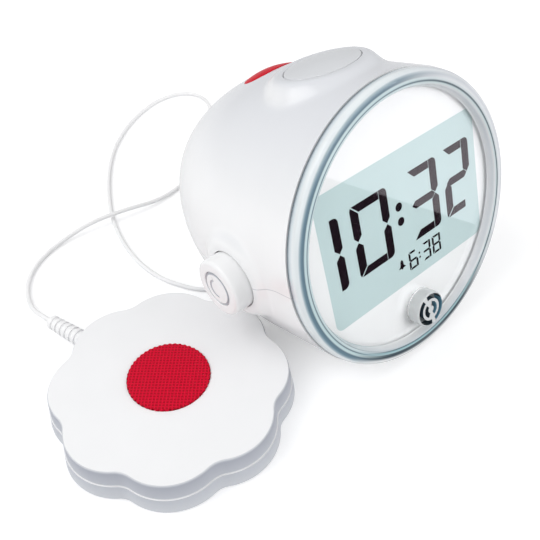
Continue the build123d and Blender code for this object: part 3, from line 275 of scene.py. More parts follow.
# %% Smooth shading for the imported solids
SHARP_ANGLE, WELD_GAP = radians(28), 0.000002
smoother = bpy.data.node_groups.new("smooth_by_angle", "GeometryNodeTree")
smoother.interface.new_socket("Geometry", in_out="INPUT", socket_type="NodeSocketGeometry")
smoother.interface.new_socket("Geometry", in_out="OUTPUT", socket_type="NodeSocketGeometry")
start, end = smoother.nodes.new("NodeGroupInput"), smoother.nodes.new("NodeGroupOutput")
faces = smoother.nodes.new("GeometryNodeSetShadeSmooth")
edges = smoother.nodes.new("GeometryNodeSetShadeSmooth")
edges.domain = "EDGE"
edges.inputs["Shade Smooth"].default_value = False
angle = smoother.nodes.new("GeometryNodeInputMeshEdgeAngle")
compare = smoother.nodes.new("FunctionNodeCompare")
compare.data_type, compare.operation = "FLOAT", "GREATER_THAN"
compare.inputs[1].default_value = SHARP_ANGLE
smoother.links.new(start.outputs[0], faces.inputs["Geometry"])
smoother.links.new(faces.outputs[0], edges.inputs["Geometry"])
smoother.links.new(angle.outputs["Unsigned Angle"], compare.inputs[0])
smoother.links.new(compare.outputs[0], edges.inputs["Selection"])
smoother.links.new(edges.outputs[0], end.inputs[0])
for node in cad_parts.values():
    weld = node.modifiers.new("weld", "WELD")
    weld.merge_threshold = WELD_GAP
    shade = node.modifiers.new("shade", "NODES")
    shade.node_group = smoother
print("packed solids smoothed", len(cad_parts))

# %% [markdown]
# ## Cord
# One limp white cord of 2 mm runs from the shaker's strain relief over the table, round
# behind the drum into a neat coil of what is put away, and on to its plug at the back. A
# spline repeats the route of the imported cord, and a bevel makes it round.

# %% Cord
ROUTE = [
    (-0.0651, 0.0496, 0.0060), (-0.0666, 0.0554, 0.0060), (-0.0668, 0.0640, 0.0026),
    (-0.0651, 0.0730, 0.0010), (-0.0608, 0.0820, 0.0010), (-0.0538, 0.0895, 0.0010),
    (-0.0438, 0.0950, 0.0010), (-0.0313, 0.0973, 0.0018), (-0.0183, 0.0959, 0.0044),
    (0.0002, 0.0921, 0.0044), (0.0162, 0.0901, 0.0016), (0.0332, 0.0930, 0.0010),
    (0.0482, 0.1010, 0.0010), (0.0632, 0.1115, 0.0010), (0.0772, 0.1250, 0.0010),
    (0.0882, 0.1395, 0.0010), (0.0942, 0.1555, 0.0010), (0.0892, 0.1675, 0.0010),
    (0.0762, 0.1720, 0.0010), (0.0602, 0.1690, 0.0010), (0.0422, 0.1600, 0.0010),
    (0.0247, 0.1460, 0.0010), (0.0102, 0.1280, 0.0010), (-0.0008, 0.1100, 0.0010),
    (-0.0088, 0.0940, 0.0010), (-0.0143, 0.0765, 0.0010), (-0.0168, 0.0595, 0.0010),
    (-0.0156, 0.0450, 0.0010), (-0.0120, 0.0353, 0.0010), (-0.0079, 0.0275, 0.0010),
    (-0.0034, 0.0229, 0.0010), (0.0026, 0.0224, 0.0010), (0.0071, 0.0265, 0.0010),
    (0.0080, 0.0340, 0.0010), (0.0086, 0.0435, 0.0010), (0.0122, 0.0535, 0.0010),
    (0.0217, 0.0590, 0.0010), (0.0362, 0.0600, 0.0010), (0.0522, 0.0565, 0.0010),
    (0.0692, 0.0520, 0.0018),
]
TAIL = [
    (0.0717, 0.0870, 0.0092), (0.0607, 0.0890, 0.0065), (0.0502, 0.0903, 0.0068),
    (0.0432, 0.0840, 0.0098), (0.0432, 0.0755, 0.0122),
]
COIL_MIDDLE, SPLINE_SLACK = (42, 116), 1.004


def coil_point(turn, reach, height):
    """A point of the coil, moved out a little, as the spline runs inside its points."""
    reach *= SPLINE_SLACK
    return TABLE @ Vector((COIL_MIDDLE[0] + reach * cos(turn), COIL_MIDDLE[1] + reach * sin(turn), height))


def coil_points():
    """The coil's points: four layers that spiral in and out, and climb on the left."""
    steps, pitch, half_turns = 8, 2.45, 9
    radius, height, inwards, points = 17.5125, 1.8, -1, []
    for layer in range(4):
        for index in range(half_turns * steps + 1):
            turn = -pi / 2 + pi * index / steps
            points.append(coil_point(turn, radius + inwards * pitch / 2 * index / steps, height))
        radius += inwards * pitch / 2 * half_turns
        if layer < 3:
            for index in range(1, steps):
                share = index / steps
                points.append(coil_point(pi / 2 + pi * share, radius + inwards * pitch / 4 * sin(pi * share),
                                         height + pitch * share))
            height += pitch
            inwards = -inwards
    return points


curve = bpy.data.curves.new("cord", "CURVE")
curve.dimensions = "3D"
spline = curve.splines.new("NURBS")
cord_points = [*ROUTE, *coil_points(), *TAIL]
spline.points.add(len(cord_points) - 1)
for knot, point in zip(spline.points, cord_points):
    knot.co = (*point, 1)
spline.order_u = 3
spline.use_endpoint_u = True
spline.resolution_u = 6
curve.bevel_depth = 1.0 * MM
curve.bevel_resolution = 4
curve.use_fill_caps = True
curve.materials.append(cord_white)
cord = bpy.data.objects.new("cord", curve)
bpy.context.collection.objects.link(cord)
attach(cord, "clock")
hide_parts("cord_lead", "cord_coil", "cord_tail")
print("cord points", len(cord_points))

# %% [markdown]
# ## Ways to make a mesh
# Most pieces of the clock are turned or cut from a slab, so four helpers cover them. An
# outline gets round corners, a profile is spun round its own Z axis, an outline is extruded
# into a slab, and one closed mesh is cut out of another.

# %% Outlines


def rounded(corners, segments=6):
    """Turns (across, along, radius) corners into points, with an arc at each round corner."""
    points = []
    for index, (x, y, radius) in enumerate(corners):
        here = Vector((x, y))
        if not radius:
            points.append(here)
            continue
        before = (Vector(corners[index - 1][:2]) - here).normalized()
        after = (Vector(corners[(index + 1) % len(corners)][:2]) - here).normalized()
        half = before.angle(after) / 2
        centre = here + (before + after).normalized() * (radius / sin(half))
        start = here + before * (radius / tan(half)) - centre
        end = here + after * (radius / tan(half)) - centre
        turn = start.angle(end)
        for step in range(segments + 1):
            share = step / segments
            arc = start * sin((1 - share) * turn) + end * sin(share * turn)
            points.append(centre + arc / sin(turn))
    return points


def oval(half_width, half_length, count=128, middle=(0, 0)):
    """Points round an oval."""
    turns = [2 * pi * k / count for k in range(count)]
    return [(middle[0] + half_width * cos(turn), middle[1] + half_length * sin(turn)) for turn in turns]


print("points round an oval", len(oval(1, 1)))

# %% Meshes and pieces


def spun(profile, steps=96):
    """A turned mesh: a profile of (radius, height) points, spun round the Z axis."""
    bm = bmesh.new()
    line = [bm.verts.new((radius, 0, height)) for radius, height in profile]
    edges = [bm.edges.new(pair) for pair in zip(line, line[1:])]
    bmesh.ops.spin(bm, geom=line + edges, cent=(0, 0, 0), axis=(0, 0, 1), angle=2 * pi,
                   steps=steps, use_merge=True)
    bmesh.ops.remove_doubles(bm, verts=bm.verts, dist=0.0005)
    bmesh.ops.recalc_face_normals(bm, faces=bm.faces)
    return bm


def slab(outline, low, high):
    """A closed slab: an outline of (x, y) points, extruded along Z between two heights."""
    bm = bmesh.new()
    face = bm.faces.new([bm.verts.new((x, y, low)) for x, y in outline])
    raised = bmesh.ops.extrude_face_region(bm, geom=[face])["geom"]
    raised = [v for v in raised if isinstance(v, bmesh.types.BMVert)]
    bmesh.ops.translate(bm, vec=(0, 0, high - low), verts=raised)
    bmesh.ops.recalc_face_normals(bm, faces=bm.faces)
    return bm


def carve(whole, *tools, operation="DIFFERENCE"):
    """Cuts closed meshes out of another, or joins them to it, and frees the tools."""
    for tool in tools:
        objects = []
        for bm in (whole, tool):
            mesh = bpy.data.meshes.new("scratch")
            bm.to_mesh(mesh)
            bm.free()
            objects.append(bpy.data.objects.new("scratch", mesh))
            bpy.context.collection.objects.link(objects[-1])
        cut = objects[0].modifiers.new("cut", "BOOLEAN")
        cut.operation, cut.solver, cut.object = operation, "EXACT", objects[1]
        whole = bmesh.new()
        whole.from_object(objects[0], bpy.context.evaluated_depsgraph_get())
        for one in objects:
            mesh = one.data
            bpy.data.objects.remove(one)
            bpy.data.meshes.remove(mesh)
    return whole


def piece(name, bm, matrix, material, body, slot, replaced=(), sharp=32):
    """Puts a finished mesh in its place, shades it smooth up to an angle and hangs it on its body."""
    bmesh.ops.transform(bm, matrix=matrix, verts=bm.verts)
    mesh = bpy.data.meshes.new(name)
    bm.to_mesh(mesh)
    bm.free()
    mesh.polygons.foreach_set("use_smooth", [True] * len(mesh.polygons))
    mesh.set_sharp_from_angle(angle=radians(sharp))
    mesh.materials.clear()
    mesh.materials.append(material)
    made = bpy.data.objects.new(name, mesh)
    bpy.context.collection.objects.link(made)
    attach(made, body)
    if replaced:
        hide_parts(*replaced)
    print(name, "faces", len(mesh.polygons))
    return made


print("mesh helpers", [one.__name__ for one in (spun, slab, carve, piece)])

# %% [markdown]
# ## Drum
# The housing is a turned drum that narrows to the back, with a raised seat round the snooze
# button and a flared boss round the knob. Both flow out of the drum in a soft curve, so the
# drum is spun with close rows and its points are eased out to the seat and the boss. Its
# underside is cut flat, and the room inside it is a smaller drum.

# %% Turned drum
FLANK_START, FLANK_RADIUS, FLANK_TURN = 36, 112.01, 33.97
EDGE_RADIUS, EDGE_MIDDLE = 10.0, (27.19, 93)


def drum_profile(inset, front):
    """The drum's half outline in the drum's frame, from its front round to its back."""
    flank, edge = FLANK_RADIUS - inset, EDGE_RADIUS - inset
    points = [(0, -front)]
    for index in range(33):
        points.append((DRUM_RADIUS - inset, -(front + (FLANK_START - front) * index / 32)))
    for index in range(1, 49):
        turn = radians(FLANK_TURN) * index / 48
        points.append((DRUM_RADIUS - FLANK_RADIUS + flank * cos(turn), -(FLANK_START + flank * sin(turn))))
    for index in range(1, 11):
        turn = radians(FLANK_TURN + (90 - FLANK_TURN) * index / 10)
        points.append((EDGE_MIDDLE[0] + edge * cos(turn), -(EDGE_MIDDLE[1] + edge * sin(turn))))
    points.append((0, inset - DRUM_DEPTH))
    return points


def ease(value, near, far):
    """1 up to a near value, 0 from a far one, and a smooth slope between."""
    share = min(1.0, max(0.0, (value - near) / (far - near)))
    return 1 - share * share * share * (share * (6 * share - 15) + 10)


def flat_below(bm, height):
    """Cuts a mesh of the drum's frame at a height over the table and closes it there."""
    normal = Vector((0, cos(LEAN), sin(LEAN)))
    cut = bmesh.ops.bisect_plane(bm, geom=[*bm.verts, *bm.edges, *bm.faces], dist=0.0001,
                                 plane_co=normal * (height - AXIS_HEIGHT), plane_no=normal, clear_inner=True)
    rim = [e for e in cut["geom_cut"] if isinstance(e, bmesh.types.BMEdge)]
    bmesh.ops.holes_fill(bm, edges=rim, sides=0)
    return bm


PAD_HALF, PAD_DEPTH, PAD_PLAY, SEAT_HEIGHT, BOSS_REACH = (15.6, 11.6), 32.3, 0.3, 56.0, 55.7
drum = spun(drum_profile(0, 5.0), steps=300)
for vert in drum.verts:
    x, y, z = vert.co
    reach = hypot(x, z + PAD_DEPTH)
    round_pad = hypot(x / (PAD_HALF[0] + PAD_PLAY), (z + PAD_DEPTH) / (PAD_HALF[1] + PAD_PLAY))
    if y > 20 and hypot(x, y) > 30:
        gap = reach * (1 - 1 / round_pad) if round_pad > 1 else 0
        vert.co.y += (SEAT_HEIGHT - y) * ease(gap, 1.0, 9.5)
    if x < -20 and hypot(x, y) > 30:
        gap = hypot(y - KNOB_DROP, z + KNOB_DEPTH)
        vert.co.x += (-BOSS_REACH - x) * ease(gap, 12.6, 20.0)
drum = flat_below(drum, BASE_HEIGHT)
room = flat_below(spun(drum_profile(WALL, 4.0), steps=128), BASE_HEIGHT + 2.4)
print("drum points", len(drum.verts), "room points", len(room.verts))

# %% [markdown]
# The room and the openings are cut as a moulder's inserts would: slabs from above for the
# buttons, from the left for the knob, from behind for the rear panel, and from below for the
# batteries and their door, the feet and the screws.

# %% Openings of the drum


def on_top(bm, depth, height, tilt):
    """Turns a slab so that its Z looks up out of the drum, tilted back in degrees."""
    turn = Matrix.Translation((0, height, -depth)) @ Matrix.Rotation(radians(-90 - tilt), 4, "X")
    bmesh.ops.transform(bm, matrix=turn, verts=bm.verts)
    return bm


def table_slab(outline, low, high):
    """A slab of the table's frame, for a cut in the drum's frame."""
    bm = slab(outline, low, high)
    bmesh.ops.transform(bm, matrix=DRUM.inverted() @ TABLE, verts=bm.verts)
    return bm


def box(width, length, middle_y):
    """The four corners of an oblong on the table's axes."""
    return [(-width / 2, middle_y - length / 2), (width / 2, middle_y - length / 2),
            (width / 2, middle_y + length / 2), (-width / 2, middle_y + length / 2)]


RED_DEPTH, RED_TILT, RED_HEIGHT = 64.6, 14.79, 50.88
knob_recess = slab(oval(11.6, 11.6), 53.6, 64.0)
bushing_hole = slab(oval(3.55, 3.55, 48), 40.0, 60.0)
for opening in (knob_recess, bushing_hole):
    bmesh.ops.transform(opening, matrix=DRUM.inverted() @ KNOB, verts=opening.verts)
openings = [
    room,
    on_top(slab(oval(PAD_HALF[0] + PAD_PLAY, PAD_HALF[1] + PAD_PLAY), -16, 4), PAD_DEPTH, SEAT_HEIGHT, 0),
    on_top(slab(oval(11.3, 7.8), -10, 4), RED_DEPTH, RED_HEIGHT, RED_TILT),
    knob_recess,
    bushing_hole,
    slab(oval(22.2, 22.2), -DRUM_DEPTH - 2, -100.0),
    table_slab(box(47.0, 59.7, 47.85), 1.0, 3.7),
    table_slab(box(43.0, 46.7, 43.35), 1.0, 14.4),
]
for x, y in [(-19.0, 12.0), (19.0, 12.0), (-17.5, 83.47), (17.5, 83.47)]:
    openings.append(table_slab(oval(5.1, 5.1, 48, (x, y)), 1.0, 2.8))
for x, y in [(-29.0, 42.02), (29.0, 42.02), (-27.5, 62.0), (27.5, 62.0)]:
    openings.append(table_slab(oval(3.1, 3.1, 32, (x, y)), 1.0, 9.0))
drum = carve(drum, *openings)
piece("drum", drum, DRUM, shell_gloss_seam_and_painted_shade, "clock", "white_gloss", ["upper_shell", "base_shell"])

# %% [markdown]
# The two shells meet in a fine seam, which runs from the rim, steps down and passes behind
# the knob. It is a hairline, so it stays in the finish: the shader measures each point's
# height over the seam's path in the drum's own frame and darkens a thin line. Where the drum
# faces up, a painted shade turns it a cooler grey.

# %% Seam and painted shade on top of the drum


def drum_place(material):
    """Sockets for x from the ring's axis, depth and height up the face, in the drum's frame."""
    nodes, links = material.node_tree.nodes, material.node_tree.links
    place = nodes.new("ShaderNodeTexCoord")
    turned = nodes.new("ShaderNodeMapping")
    turned.vector_type = "POINT"
    turned.inputs["Rotation"].default_value = (LEAN, 0, 0)
    turned.inputs["Location"].default_value = -(Matrix.Rotation(LEAN, 3, "X") @ AXIS_POINT)
    apart = nodes.new("ShaderNodeSeparateXYZ")
    links.new(place.outputs["Object"], turned.inputs["Vector"])
    links.new(turned.outputs["Vector"], apart.inputs[0])
    return apart.outputs


def upward(material):
    """A socket that is 1 where the surface faces up and 0 where it is upright."""
    nodes, links = material.node_tree.nodes, material.node_tree.links
    facing = nodes.new("ShaderNodeNewGeometry")
    apart = nodes.new("ShaderNodeSeparateXYZ")
    links.new(facing.outputs["Normal"], apart.inputs[0])
    return apart.outputs["Z"]


nodes, links = shell_gloss_seam_and_painted_shade.node_tree.nodes, shell_gloss_seam_and_painted_shade.node_tree.links
_, deep, high = drum_place(shell_gloss_seam_and_painted_shade)
seam_path = eased(nodes, links, deep, (12 * MM, 27 * MM), (-1.4 * MM, -4.4 * MM))
from_seam = shader_math(nodes, links, "ABSOLUTE", shader_math(nodes, links, "SUBTRACT", high, seam_path))
on_seam = eased(nodes, links, from_seam, (0.08 * MM, 0.22 * MM), (1.0, 0.0))
repaint(shell_gloss_seam_and_painted_shade, on_seam, (0.58, 0.6, 0.63))
# Painted shade: the drum's upward faces are turned a cooler grey.
repaint(shell_gloss_seam_and_painted_shade, eased(nodes, links, upward(shell_gloss_seam_and_painted_shade), (0.3, 0.98)), (0.70, 0.715, 0.75))
print("drum's finish, nodes", len(nodes))

# %% [markdown]
# ## Front cover
# The cover is one turned piece of clear acrylic: a thick rounded rim round a thin window. It
# is spun from its profile. In clear plastic the roundings bend what lies round them into fine
# bands of light and dark. That needs a whole studio, so these reflections are painted: the
# rim's finish paints the bands by the way along its profile, with one set for the left, one
# for the right and one for below.

# %% Clear rim's finish with painted reflections
RIM_START, RIM_WIDTH, RIM_TOP, SIDE_SHARE = 46, 12, 51, 0.7


def painted_reflection_ramp(material, value, bands):
    """A colour ramp of painted reflections, over bands of (distance in mm, colour of 0 to 255)."""
    ramp = material.node_tree.nodes.new("ShaderNodeValToRGB")
    stops = ramp.color_ramp.elements
    for index, (distance, color) in enumerate(bands):
        position = (distance - RIM_START) / RIM_WIDTH
        stop = stops[index] if index < 2 else stops.new(position)
        stop.position = position
        stop.color = (*[(c / 255) ** 2.2 for c in color], 1)
    material.node_tree.links.new(value, ramp.inputs[0])
    return ramp.outputs["Color"]


rim_acrylic_painted_reflections = finish("rim_acrylic_painted_reflections", (0.9, 0.93, 0.95), 0.05, drift=0.0, Transmission_Weight=0.15,
                     IOR=ACRYLIC_IOR)
nodes, links = rim_acrylic_painted_reflections.node_tree.nodes, rim_acrylic_painted_reflections.node_tree.links
across, deep, high = drum_place(rim_acrylic_painted_reflections)
reach = shader_math(nodes, links, "SQRT", shader_math(
    nodes, links, "ADD", shader_math(nodes, links, "MULTIPLY", across, across),
    shader_math(nodes, links, "MULTIPLY", high, high)))
outer = shader_math(nodes, links, "MULTIPLY_ADD", shader_math(
    nodes, links, "GREATER_THAN", reach, RIM_TOP * MM), 2 * SIDE_SHARE, -SIDE_SHARE)
along = shader_math(nodes, links, "ADD", reach, shader_math(nodes, links, "MULTIPLY", deep, outer))
share = shader_math(nodes, links, "DIVIDE", shader_math(
    nodes, links, "SUBTRACT", along, RIM_START * MM), RIM_WIDTH * MM)
# Painted reflections: bands of light and dark for the left, right and low part of the rim.
left_painted_reflections = painted_reflection_ramp(rim_acrylic_painted_reflections, share, [
    (46.0, (206, 220, 225)), (57.8, (88, 100, 110)), (47.9, (205, 220, 226)), (48.3, (140, 158, 165)),
    (48.7, (220, 236, 240)), (49.4, (215, 232, 236)), (49.8, (96, 116, 130)), (50.2, (205, 228, 232)),
    (50.8, (215, 235, 238)), (51.3, (108, 133, 148)), (52.3, (118, 144, 160)), (53.0, (170, 190, 200)),
    (53.6, (236, 243, 246)), (55.8, (240, 246, 248)), (56.7, (215, 226, 232)), (57.3, (110, 122, 132))])
right_painted_reflections = painted_reflection_ramp(rim_acrylic_painted_reflections, share, [
    (46.0, (242, 244, 247)), (57.8, (232, 235, 239)), (47.6, (228, 232, 238)), (48.4, (238, 241, 244)),
    (49.3, (214, 228, 230)), (49.7, (96, 114, 122)), (50.0, (84, 102, 110)), (50.4, (214, 224, 228)),
    (51.2, (236, 240, 243)), (52.2, (218, 223, 229)), (53.4, (236, 239, 243)), (54.4, (222, 226, 232))])
low_painted_reflections = painted_reflection_ramp(rim_acrylic_painted_reflections, share, [
    (46.0, (246, 248, 249)), (57.8, (240, 242, 244)), (47.8, (236, 240, 243)), (48.6, (208, 218, 225)),
    (49.0, (70, 86, 98)), (49.4, (150, 190, 198)), (50.0, (190, 220, 226)), (50.4, (86, 100, 108)),
    (51.4, (80, 90, 97)), (52.0, (186, 192, 196)), (52.4, (240, 242, 244)), (53.2, (246, 247, 248)),
    (53.6, (205, 210, 214)), (54.0, (244, 245, 247))])
sides = mixed(nodes, links, eased(nodes, links, across, (-8 * MM, 30 * MM)), left_painted_reflections, right_painted_reflections)
rim_painted_reflections = mixed(nodes, links, eased(nodes, links, high, (-32 * MM, -48 * MM)), sides, low_painted_reflections)
links.new(rim_painted_reflections, nodes["Principled BSDF"].inputs["Base Color"])
print("rim's finish, nodes", len(nodes))

# %% Front cover
GRILLE, GRILLE_HOLE = (2.4, -38.5), 7.2
cover = spun(rounded([
    (0, -3.3, 0), (46.9, -3.3, 0), (48.0, -3.3, 0.5), (48.6, 0, 1.0), (54.2, 0, 2.4), (54.2, -4.95, 0.3),
    (50.4, -4.95, 0), (0, -4.95, 0),
]), steps=256)
cover = carve(cover, slab(oval(GRILLE_HOLE, GRILLE_HOLE, 96, GRILLE), -8, 2))
cover = piece("front_cover", cover, DRUM, clear_acrylic, "clock", "clear_acrylic", ["front_lens"])
cover.data.materials.append(rim_acrylic_painted_reflections)
for face in cover.data.polygons:
    middle = DRUM.inverted() @ face.center
    face.material_index = 1 if hypot(middle.x, middle.y) > 47.5 else 0

# %% [markdown]
# ## Dial and display
# The dial is a white disc, and the display lies flush in it behind one pale blue-green film
# with rounded corners. The liquid crystal shows the time in seven-segment digits and the
# alarm time below. A segment is a flat slab, and one helper makes the seven outlines for
# any digit size, with mitred ends and thin gaps as on the real glass.

# %% Dial and display film
dial = spun([(0, -5.0), (50.0, -5.0), (50.0, -6.0), (0, -6.0)], steps=192)
dial = carve(dial, slab(oval(GRILLE_HOLE, GRILLE_HOLE, 96, GRILLE), -8, 2))
piece("dial", dial, DRUM, dial_white, "clock", "dial_white", ["dial_plate"], sharp=30)
film = rounded([(-39.3, -25.7, 3.2), (42.3, -25.7, 3.2), (42.3, 27.6, 3.2), (-39.3, 27.6, 3.2)], 10)
film = slab(film, -4.995, -4.985)
piece("display_film", film, DRUM, display_glass, "clock", "display_glass", ["lcd_panel"])

# %% Display digits


def segments(width, height, stroke, bar, gap, corner):
    """The seven outlines of a digit, keyed a to g, clockwise from the top and then the middle."""
    middle, point = height / 2, stroke * 0.55
    left, right = bar * 0.25, width - stroke
    shapes = {
        "a": [(left + gap, height), (right - gap, height), (right - gap, height - bar),
              (left + bar + gap, height - bar)],
        "b": [*rounded([(width, middle + point, 0), (width, height, corner), (right, height, 0)])[1:-1],
              (right, height), (right, middle + point), (right + stroke * 0.55, middle + gap),
              (width, middle + point)],
        "f": [(0, height - bar * 0.45), (left * 0.7, height - gap),
              (stroke, height - stroke + left * 0.7 - gap), (stroke, middle + point),
              (stroke * 0.45, middle + gap), (0, middle + point)],
        "g": [(stroke * 0.35, middle), (stroke * 0.35 + bar * 0.6, middle + bar / 2),
              (width - stroke * 0.9, middle + bar / 2), (width - stroke * 0.5, middle),
              (width - stroke * 0.9, middle - bar / 2), (stroke * 0.35 + bar * 0.6, middle - bar / 2)],
    }
    for high, low in (("a", "d"), ("b", "c"), ("f", "e")):
        shapes[low] = [(x, height - y) for x, y in reversed(shapes[high])]
    return shapes


LIT = {"0": "abcdef", "1": "bc", "2": "abged", "3": "abgcd", "6": "acdefg", "8": "abcdefg"}
BIG = dict(height=28.1, stroke=3.8, bar=3.1, gap=0.2, corner=2.2)
SMALL = dict(height=7.7, stroke=1.05, bar=0.9, gap=0.16, corner=0.45)
DIGITS = [("1", -33.8, -10.8, 4.1, BIG), ("0", -24.2, -10.8, 18.1, BIG), ("3", 4.2, -10.8, 15.9, BIG),
          ("2", 23.7, -10.8, 14.9, BIG), ("6", 0.2, -21.5, 4.9, SMALL), ("3", 7.9, -21.5, 4.6, SMALL),
          ("8", 13.5, -21.5, 4.8, SMALL)]
ink = bmesh.new()
outlines = []
for figure, x, y, width, size in DIGITS:
    shapes = segments(width, **size)
    outlines += [[(x + a, y + b) for a, b in shapes[key]] for key in LIT[figure]]
for x, y, radius in [(-1.2, 6.6, 1.7), (-1.0, 0.6, 1.7), (6.1, -16.6, 0.48), (6.2, -18.5, 0.48)]:
    outlines.append(oval(radius, radius, 24, (x, y)))
bell = rounded([
    (-5.6, -18.0, 0), (-4.6, -17.0, 0), (-4.35, -15.2, 0.8), (-3.65, -14.4, 0.4), (-2.95, -15.2, 0.8),
    (-2.7, -17.0, 0), (-1.7, -18.0, 0), (-3.1, -18.1, 0), (-3.65, -18.8, 0.3), (-4.2, -18.1, 0)])
outlines.append(bell)
for outline in outlines:
    one = slab(outline, -4.985, -4.965)
    scratch = bpy.data.meshes.new("scratch")
    one.to_mesh(scratch)
    one.free()
    ink.from_mesh(scratch)
    bpy.data.meshes.remove(scratch)
piece("digits", ink, DRUM, segment_black, "clock", "display_glass")

# %% [markdown]
# ## Sounder grille
# A small clear cup stands proud of the window, with two rings of arc slots over the dark
# sounder. It is spun, and the slots are cut with curved slabs. The slots' walls get a painted
# shade of dark slate on one side and a painted blue reflection on the other.

# %% Sounder grille


def arc_slab(inner, outer, start, end, low, high):
    """A curved slab between two radii and two angles in degrees, round the grille's middle."""
    count = 20
    turns = [radians(start + (end - start) * k / count) for k in range(count + 1)]
    outline = [(GRILLE[0] + outer * cos(t), GRILLE[1] + outer * sin(t)) for t in turns]
    outline += [(GRILLE[0] + inner * cos(t), GRILLE[1] + inner * sin(t)) for t in reversed(turns)]
    return slab(outline, low, high)


grille = spun(rounded([
    (0, 1.7, 0), (7.15, 1.7, 0.9), (7.15, -6.0, 0), (6.9, -6.0, 0), (6.9, -7.0, 0), (6.3, -7.0, 0),
    (6.3, -0.5, 0), (0, -0.5, 0),
]), steps=96)
bmesh.ops.translate(grille, vec=(*GRILLE, 0), verts=grille.verts)
slots = [arc_slab(4.6, 6.6, 122, 268, -2, 3), arc_slab(4.6, 6.6, -72, 104, -2, 3),
         arc_slab(1.5, 3.4, 125, 245, -2, 3), arc_slab(1.5, 3.4, -65, 75, -2, 3)]
grille = carve(grille, *slots)
grille = piece("grille", grille, DRUM, frosted_acrylic, "clock", "clear_acrylic", ["sounder_grille"])
# Painted shade of dark slate in the slots, and a painted blue reflection on one side of them.
grille.data.materials.append(finish("slot_painted_shade", (0.045, 0.07, 0.09), 0.15))
grille.data.materials.append(finish("slot_painted_reflection", (0.16, 0.34, 0.45), 0.12))
for face in grille.data.polygons:
    middle = DRUM.inverted() @ face.center
    x, y = middle.x - GRILLE[0], middle.y - GRILLE[1]
    if hypot(x, y) < 6.65 and -0.45 < middle.z < 1.6:
        face.material_index = 2 if x > 0.4 and y < 2.2 else 1

# %% [markdown]
# ## Top buttons
# Both caps are turned discs drawn out to ovals: a profile with a gentle crown and a rounded
# edge is spun and then scaled across and along. The red cap is also bent to the drum's round
# top.

# %% Top buttons


def oval_cap(half_width, half_length, crown, depth, edge):
    """An oval cap with a gentle crown and a rounded edge, whose rim is at height 0."""
    shares = [0.9 * k / 12 for k in range(13)]
    profile = [(half_width * share, crown * (1 - share ** 2)) for share in shares]
    rim = [(half_width * 0.9, crown * 0.19, 0), (half_width, 0, edge), (half_width, -depth, 0)]
    profile += [tuple(point) for point in rounded(rim)[1:]]
    profile.append((0, -depth))
    bm = spun(profile, steps=144)
    bmesh.ops.scale(bm, vec=(1, half_length / half_width, 1), verts=bm.verts)
    return bm


snooze = on_top(oval_cap(*PAD_HALF, 1.3, 12.0, 0.5), PAD_DEPTH, 56.2, 0)
piece("snooze_cap", snooze, DRUM, pale_grey, "snooze", "pale_grey", ["snooze_button"])
red_cap = on_top(oval_cap(11.15, 7.65, 0.9, 6.0, 0.25), RED_DEPTH, RED_HEIGHT, RED_TILT)
for vert in red_cap.verts:
    vert.co.y -= RED_HEIGHT - sqrt(RED_HEIGHT ** 2 - vert.co.x ** 2)
piece("red_cap_top", red_cap, DRUM, red_gloss, "red_cap", "red_gloss", ["red_button"])

# %% [markdown]
# ## Side knob
# A turned cup with a rounded rim, a groove round its push button and a hub on the shaft. An
# arc is cut in the button's face, and it and the groove get a painted shade of grey.

# %% Side knob
knob = spun(rounded([
    (0, 57.6, 0), (3.0, 57.6, 0), (3.0, 59.2, 0), (6.95, 59.2, 0), (6.95, 63.0, 0.3), (11.2, 63.0, 1.5),
    (11.2, 54.2, 0.3), (8.6, 54.2, 0.2), (8.6, 57.6, 0),
]), steps=144)
piece("knob", knob, KNOB, white_gloss, "knob", "white_gloss", ["side_knob"])
button = spun(rounded([
    (0, 63.0, 0), (6.05, 63.0, 0.25), (6.05, 62.4, 0), (6.85, 62.4, 0), (6.85, 61.0, 0), (1.25, 61.0, 0),
    (1.25, 57.2, 0), (0, 57.2, 0),
]), steps=96)
mark = [(radius * cos(radians(turn)), radius * sin(radians(turn))) for radius, turns in
        ((3.85, range(105, 271, 5)), (2.95, range(270, 104, -5))) for turn in turns]
button = carve(button, slab(mark, 62.8, 64.0))
button = piece("knob_cap", button, KNOB, white_gloss, "knob_centre", "white_gloss", ["knob_button"])
# Painted shade: the groove and the cut arc are grey.
button.data.materials.append(finish("groove_painted_shade", (0.52, 0.54, 0.58), 0.4))
for face in button.data.polygons:
    if 61.5 < (KNOB.inverted() @ face.center).z < 62.98:
        face.material_index = 1

# %% [markdown]
# ## Shaker
# The shaker's lobed side gets a painted shade of blue-grey below its white top, darker high
# on the side and lighter near the table, with a painted highlight as a pale edge where the two
# shells meet. Its finish tells top from side by the surface's own direction, and the parting
# line and the shade's fade by the height over the table.

# %% Shaker shells' painted shade and highlight
SHAKER_SEAM, SHAKER_SHADE_HEIGHTS = 7.2 * MM, (1.0 * MM, 13.5 * MM)
nodes, links = white_satin_with_painted_shade.node_tree.nodes, white_satin_with_painted_shade.node_tree.links
place = nodes.new("ShaderNodeTexCoord")
over_table = nodes.new("ShaderNodeSeparateXYZ")
links.new(place.outputs["Object"], over_table.inputs[0])
height = over_table.outputs["Z"]
from_line = shader_math(nodes, links, "ABSOLUTE", shader_math(nodes, links, "SUBTRACT", height, SHAKER_SEAM))
# Painted shade on the sides, held back near the parting line as a painted highlight.
painted_shade_share = shader_math(
    nodes, links, "MULTIPLY", eased(nodes, links, upward(white_satin_with_painted_shade), (0.15, 0.95), (1.0, 0.0)),
    eased(nodes, links, from_line, (0.1 * MM, 0.35 * MM), (0.25, 1.0)))
# Painted shade: a darker blue-grey high on the side, a lighter one near the table.
painted_side_shade = mixed(nodes, links, eased(nodes, links, height, SHAKER_SHADE_HEIGHTS, soft=False),
                  (0.61, 0.63, 0.67), (0.38, 0.40, 0.46))
repaint(white_satin_with_painted_shade, painted_shade_share, painted_side_shade)
print("shaker's finish, nodes", len(nodes))
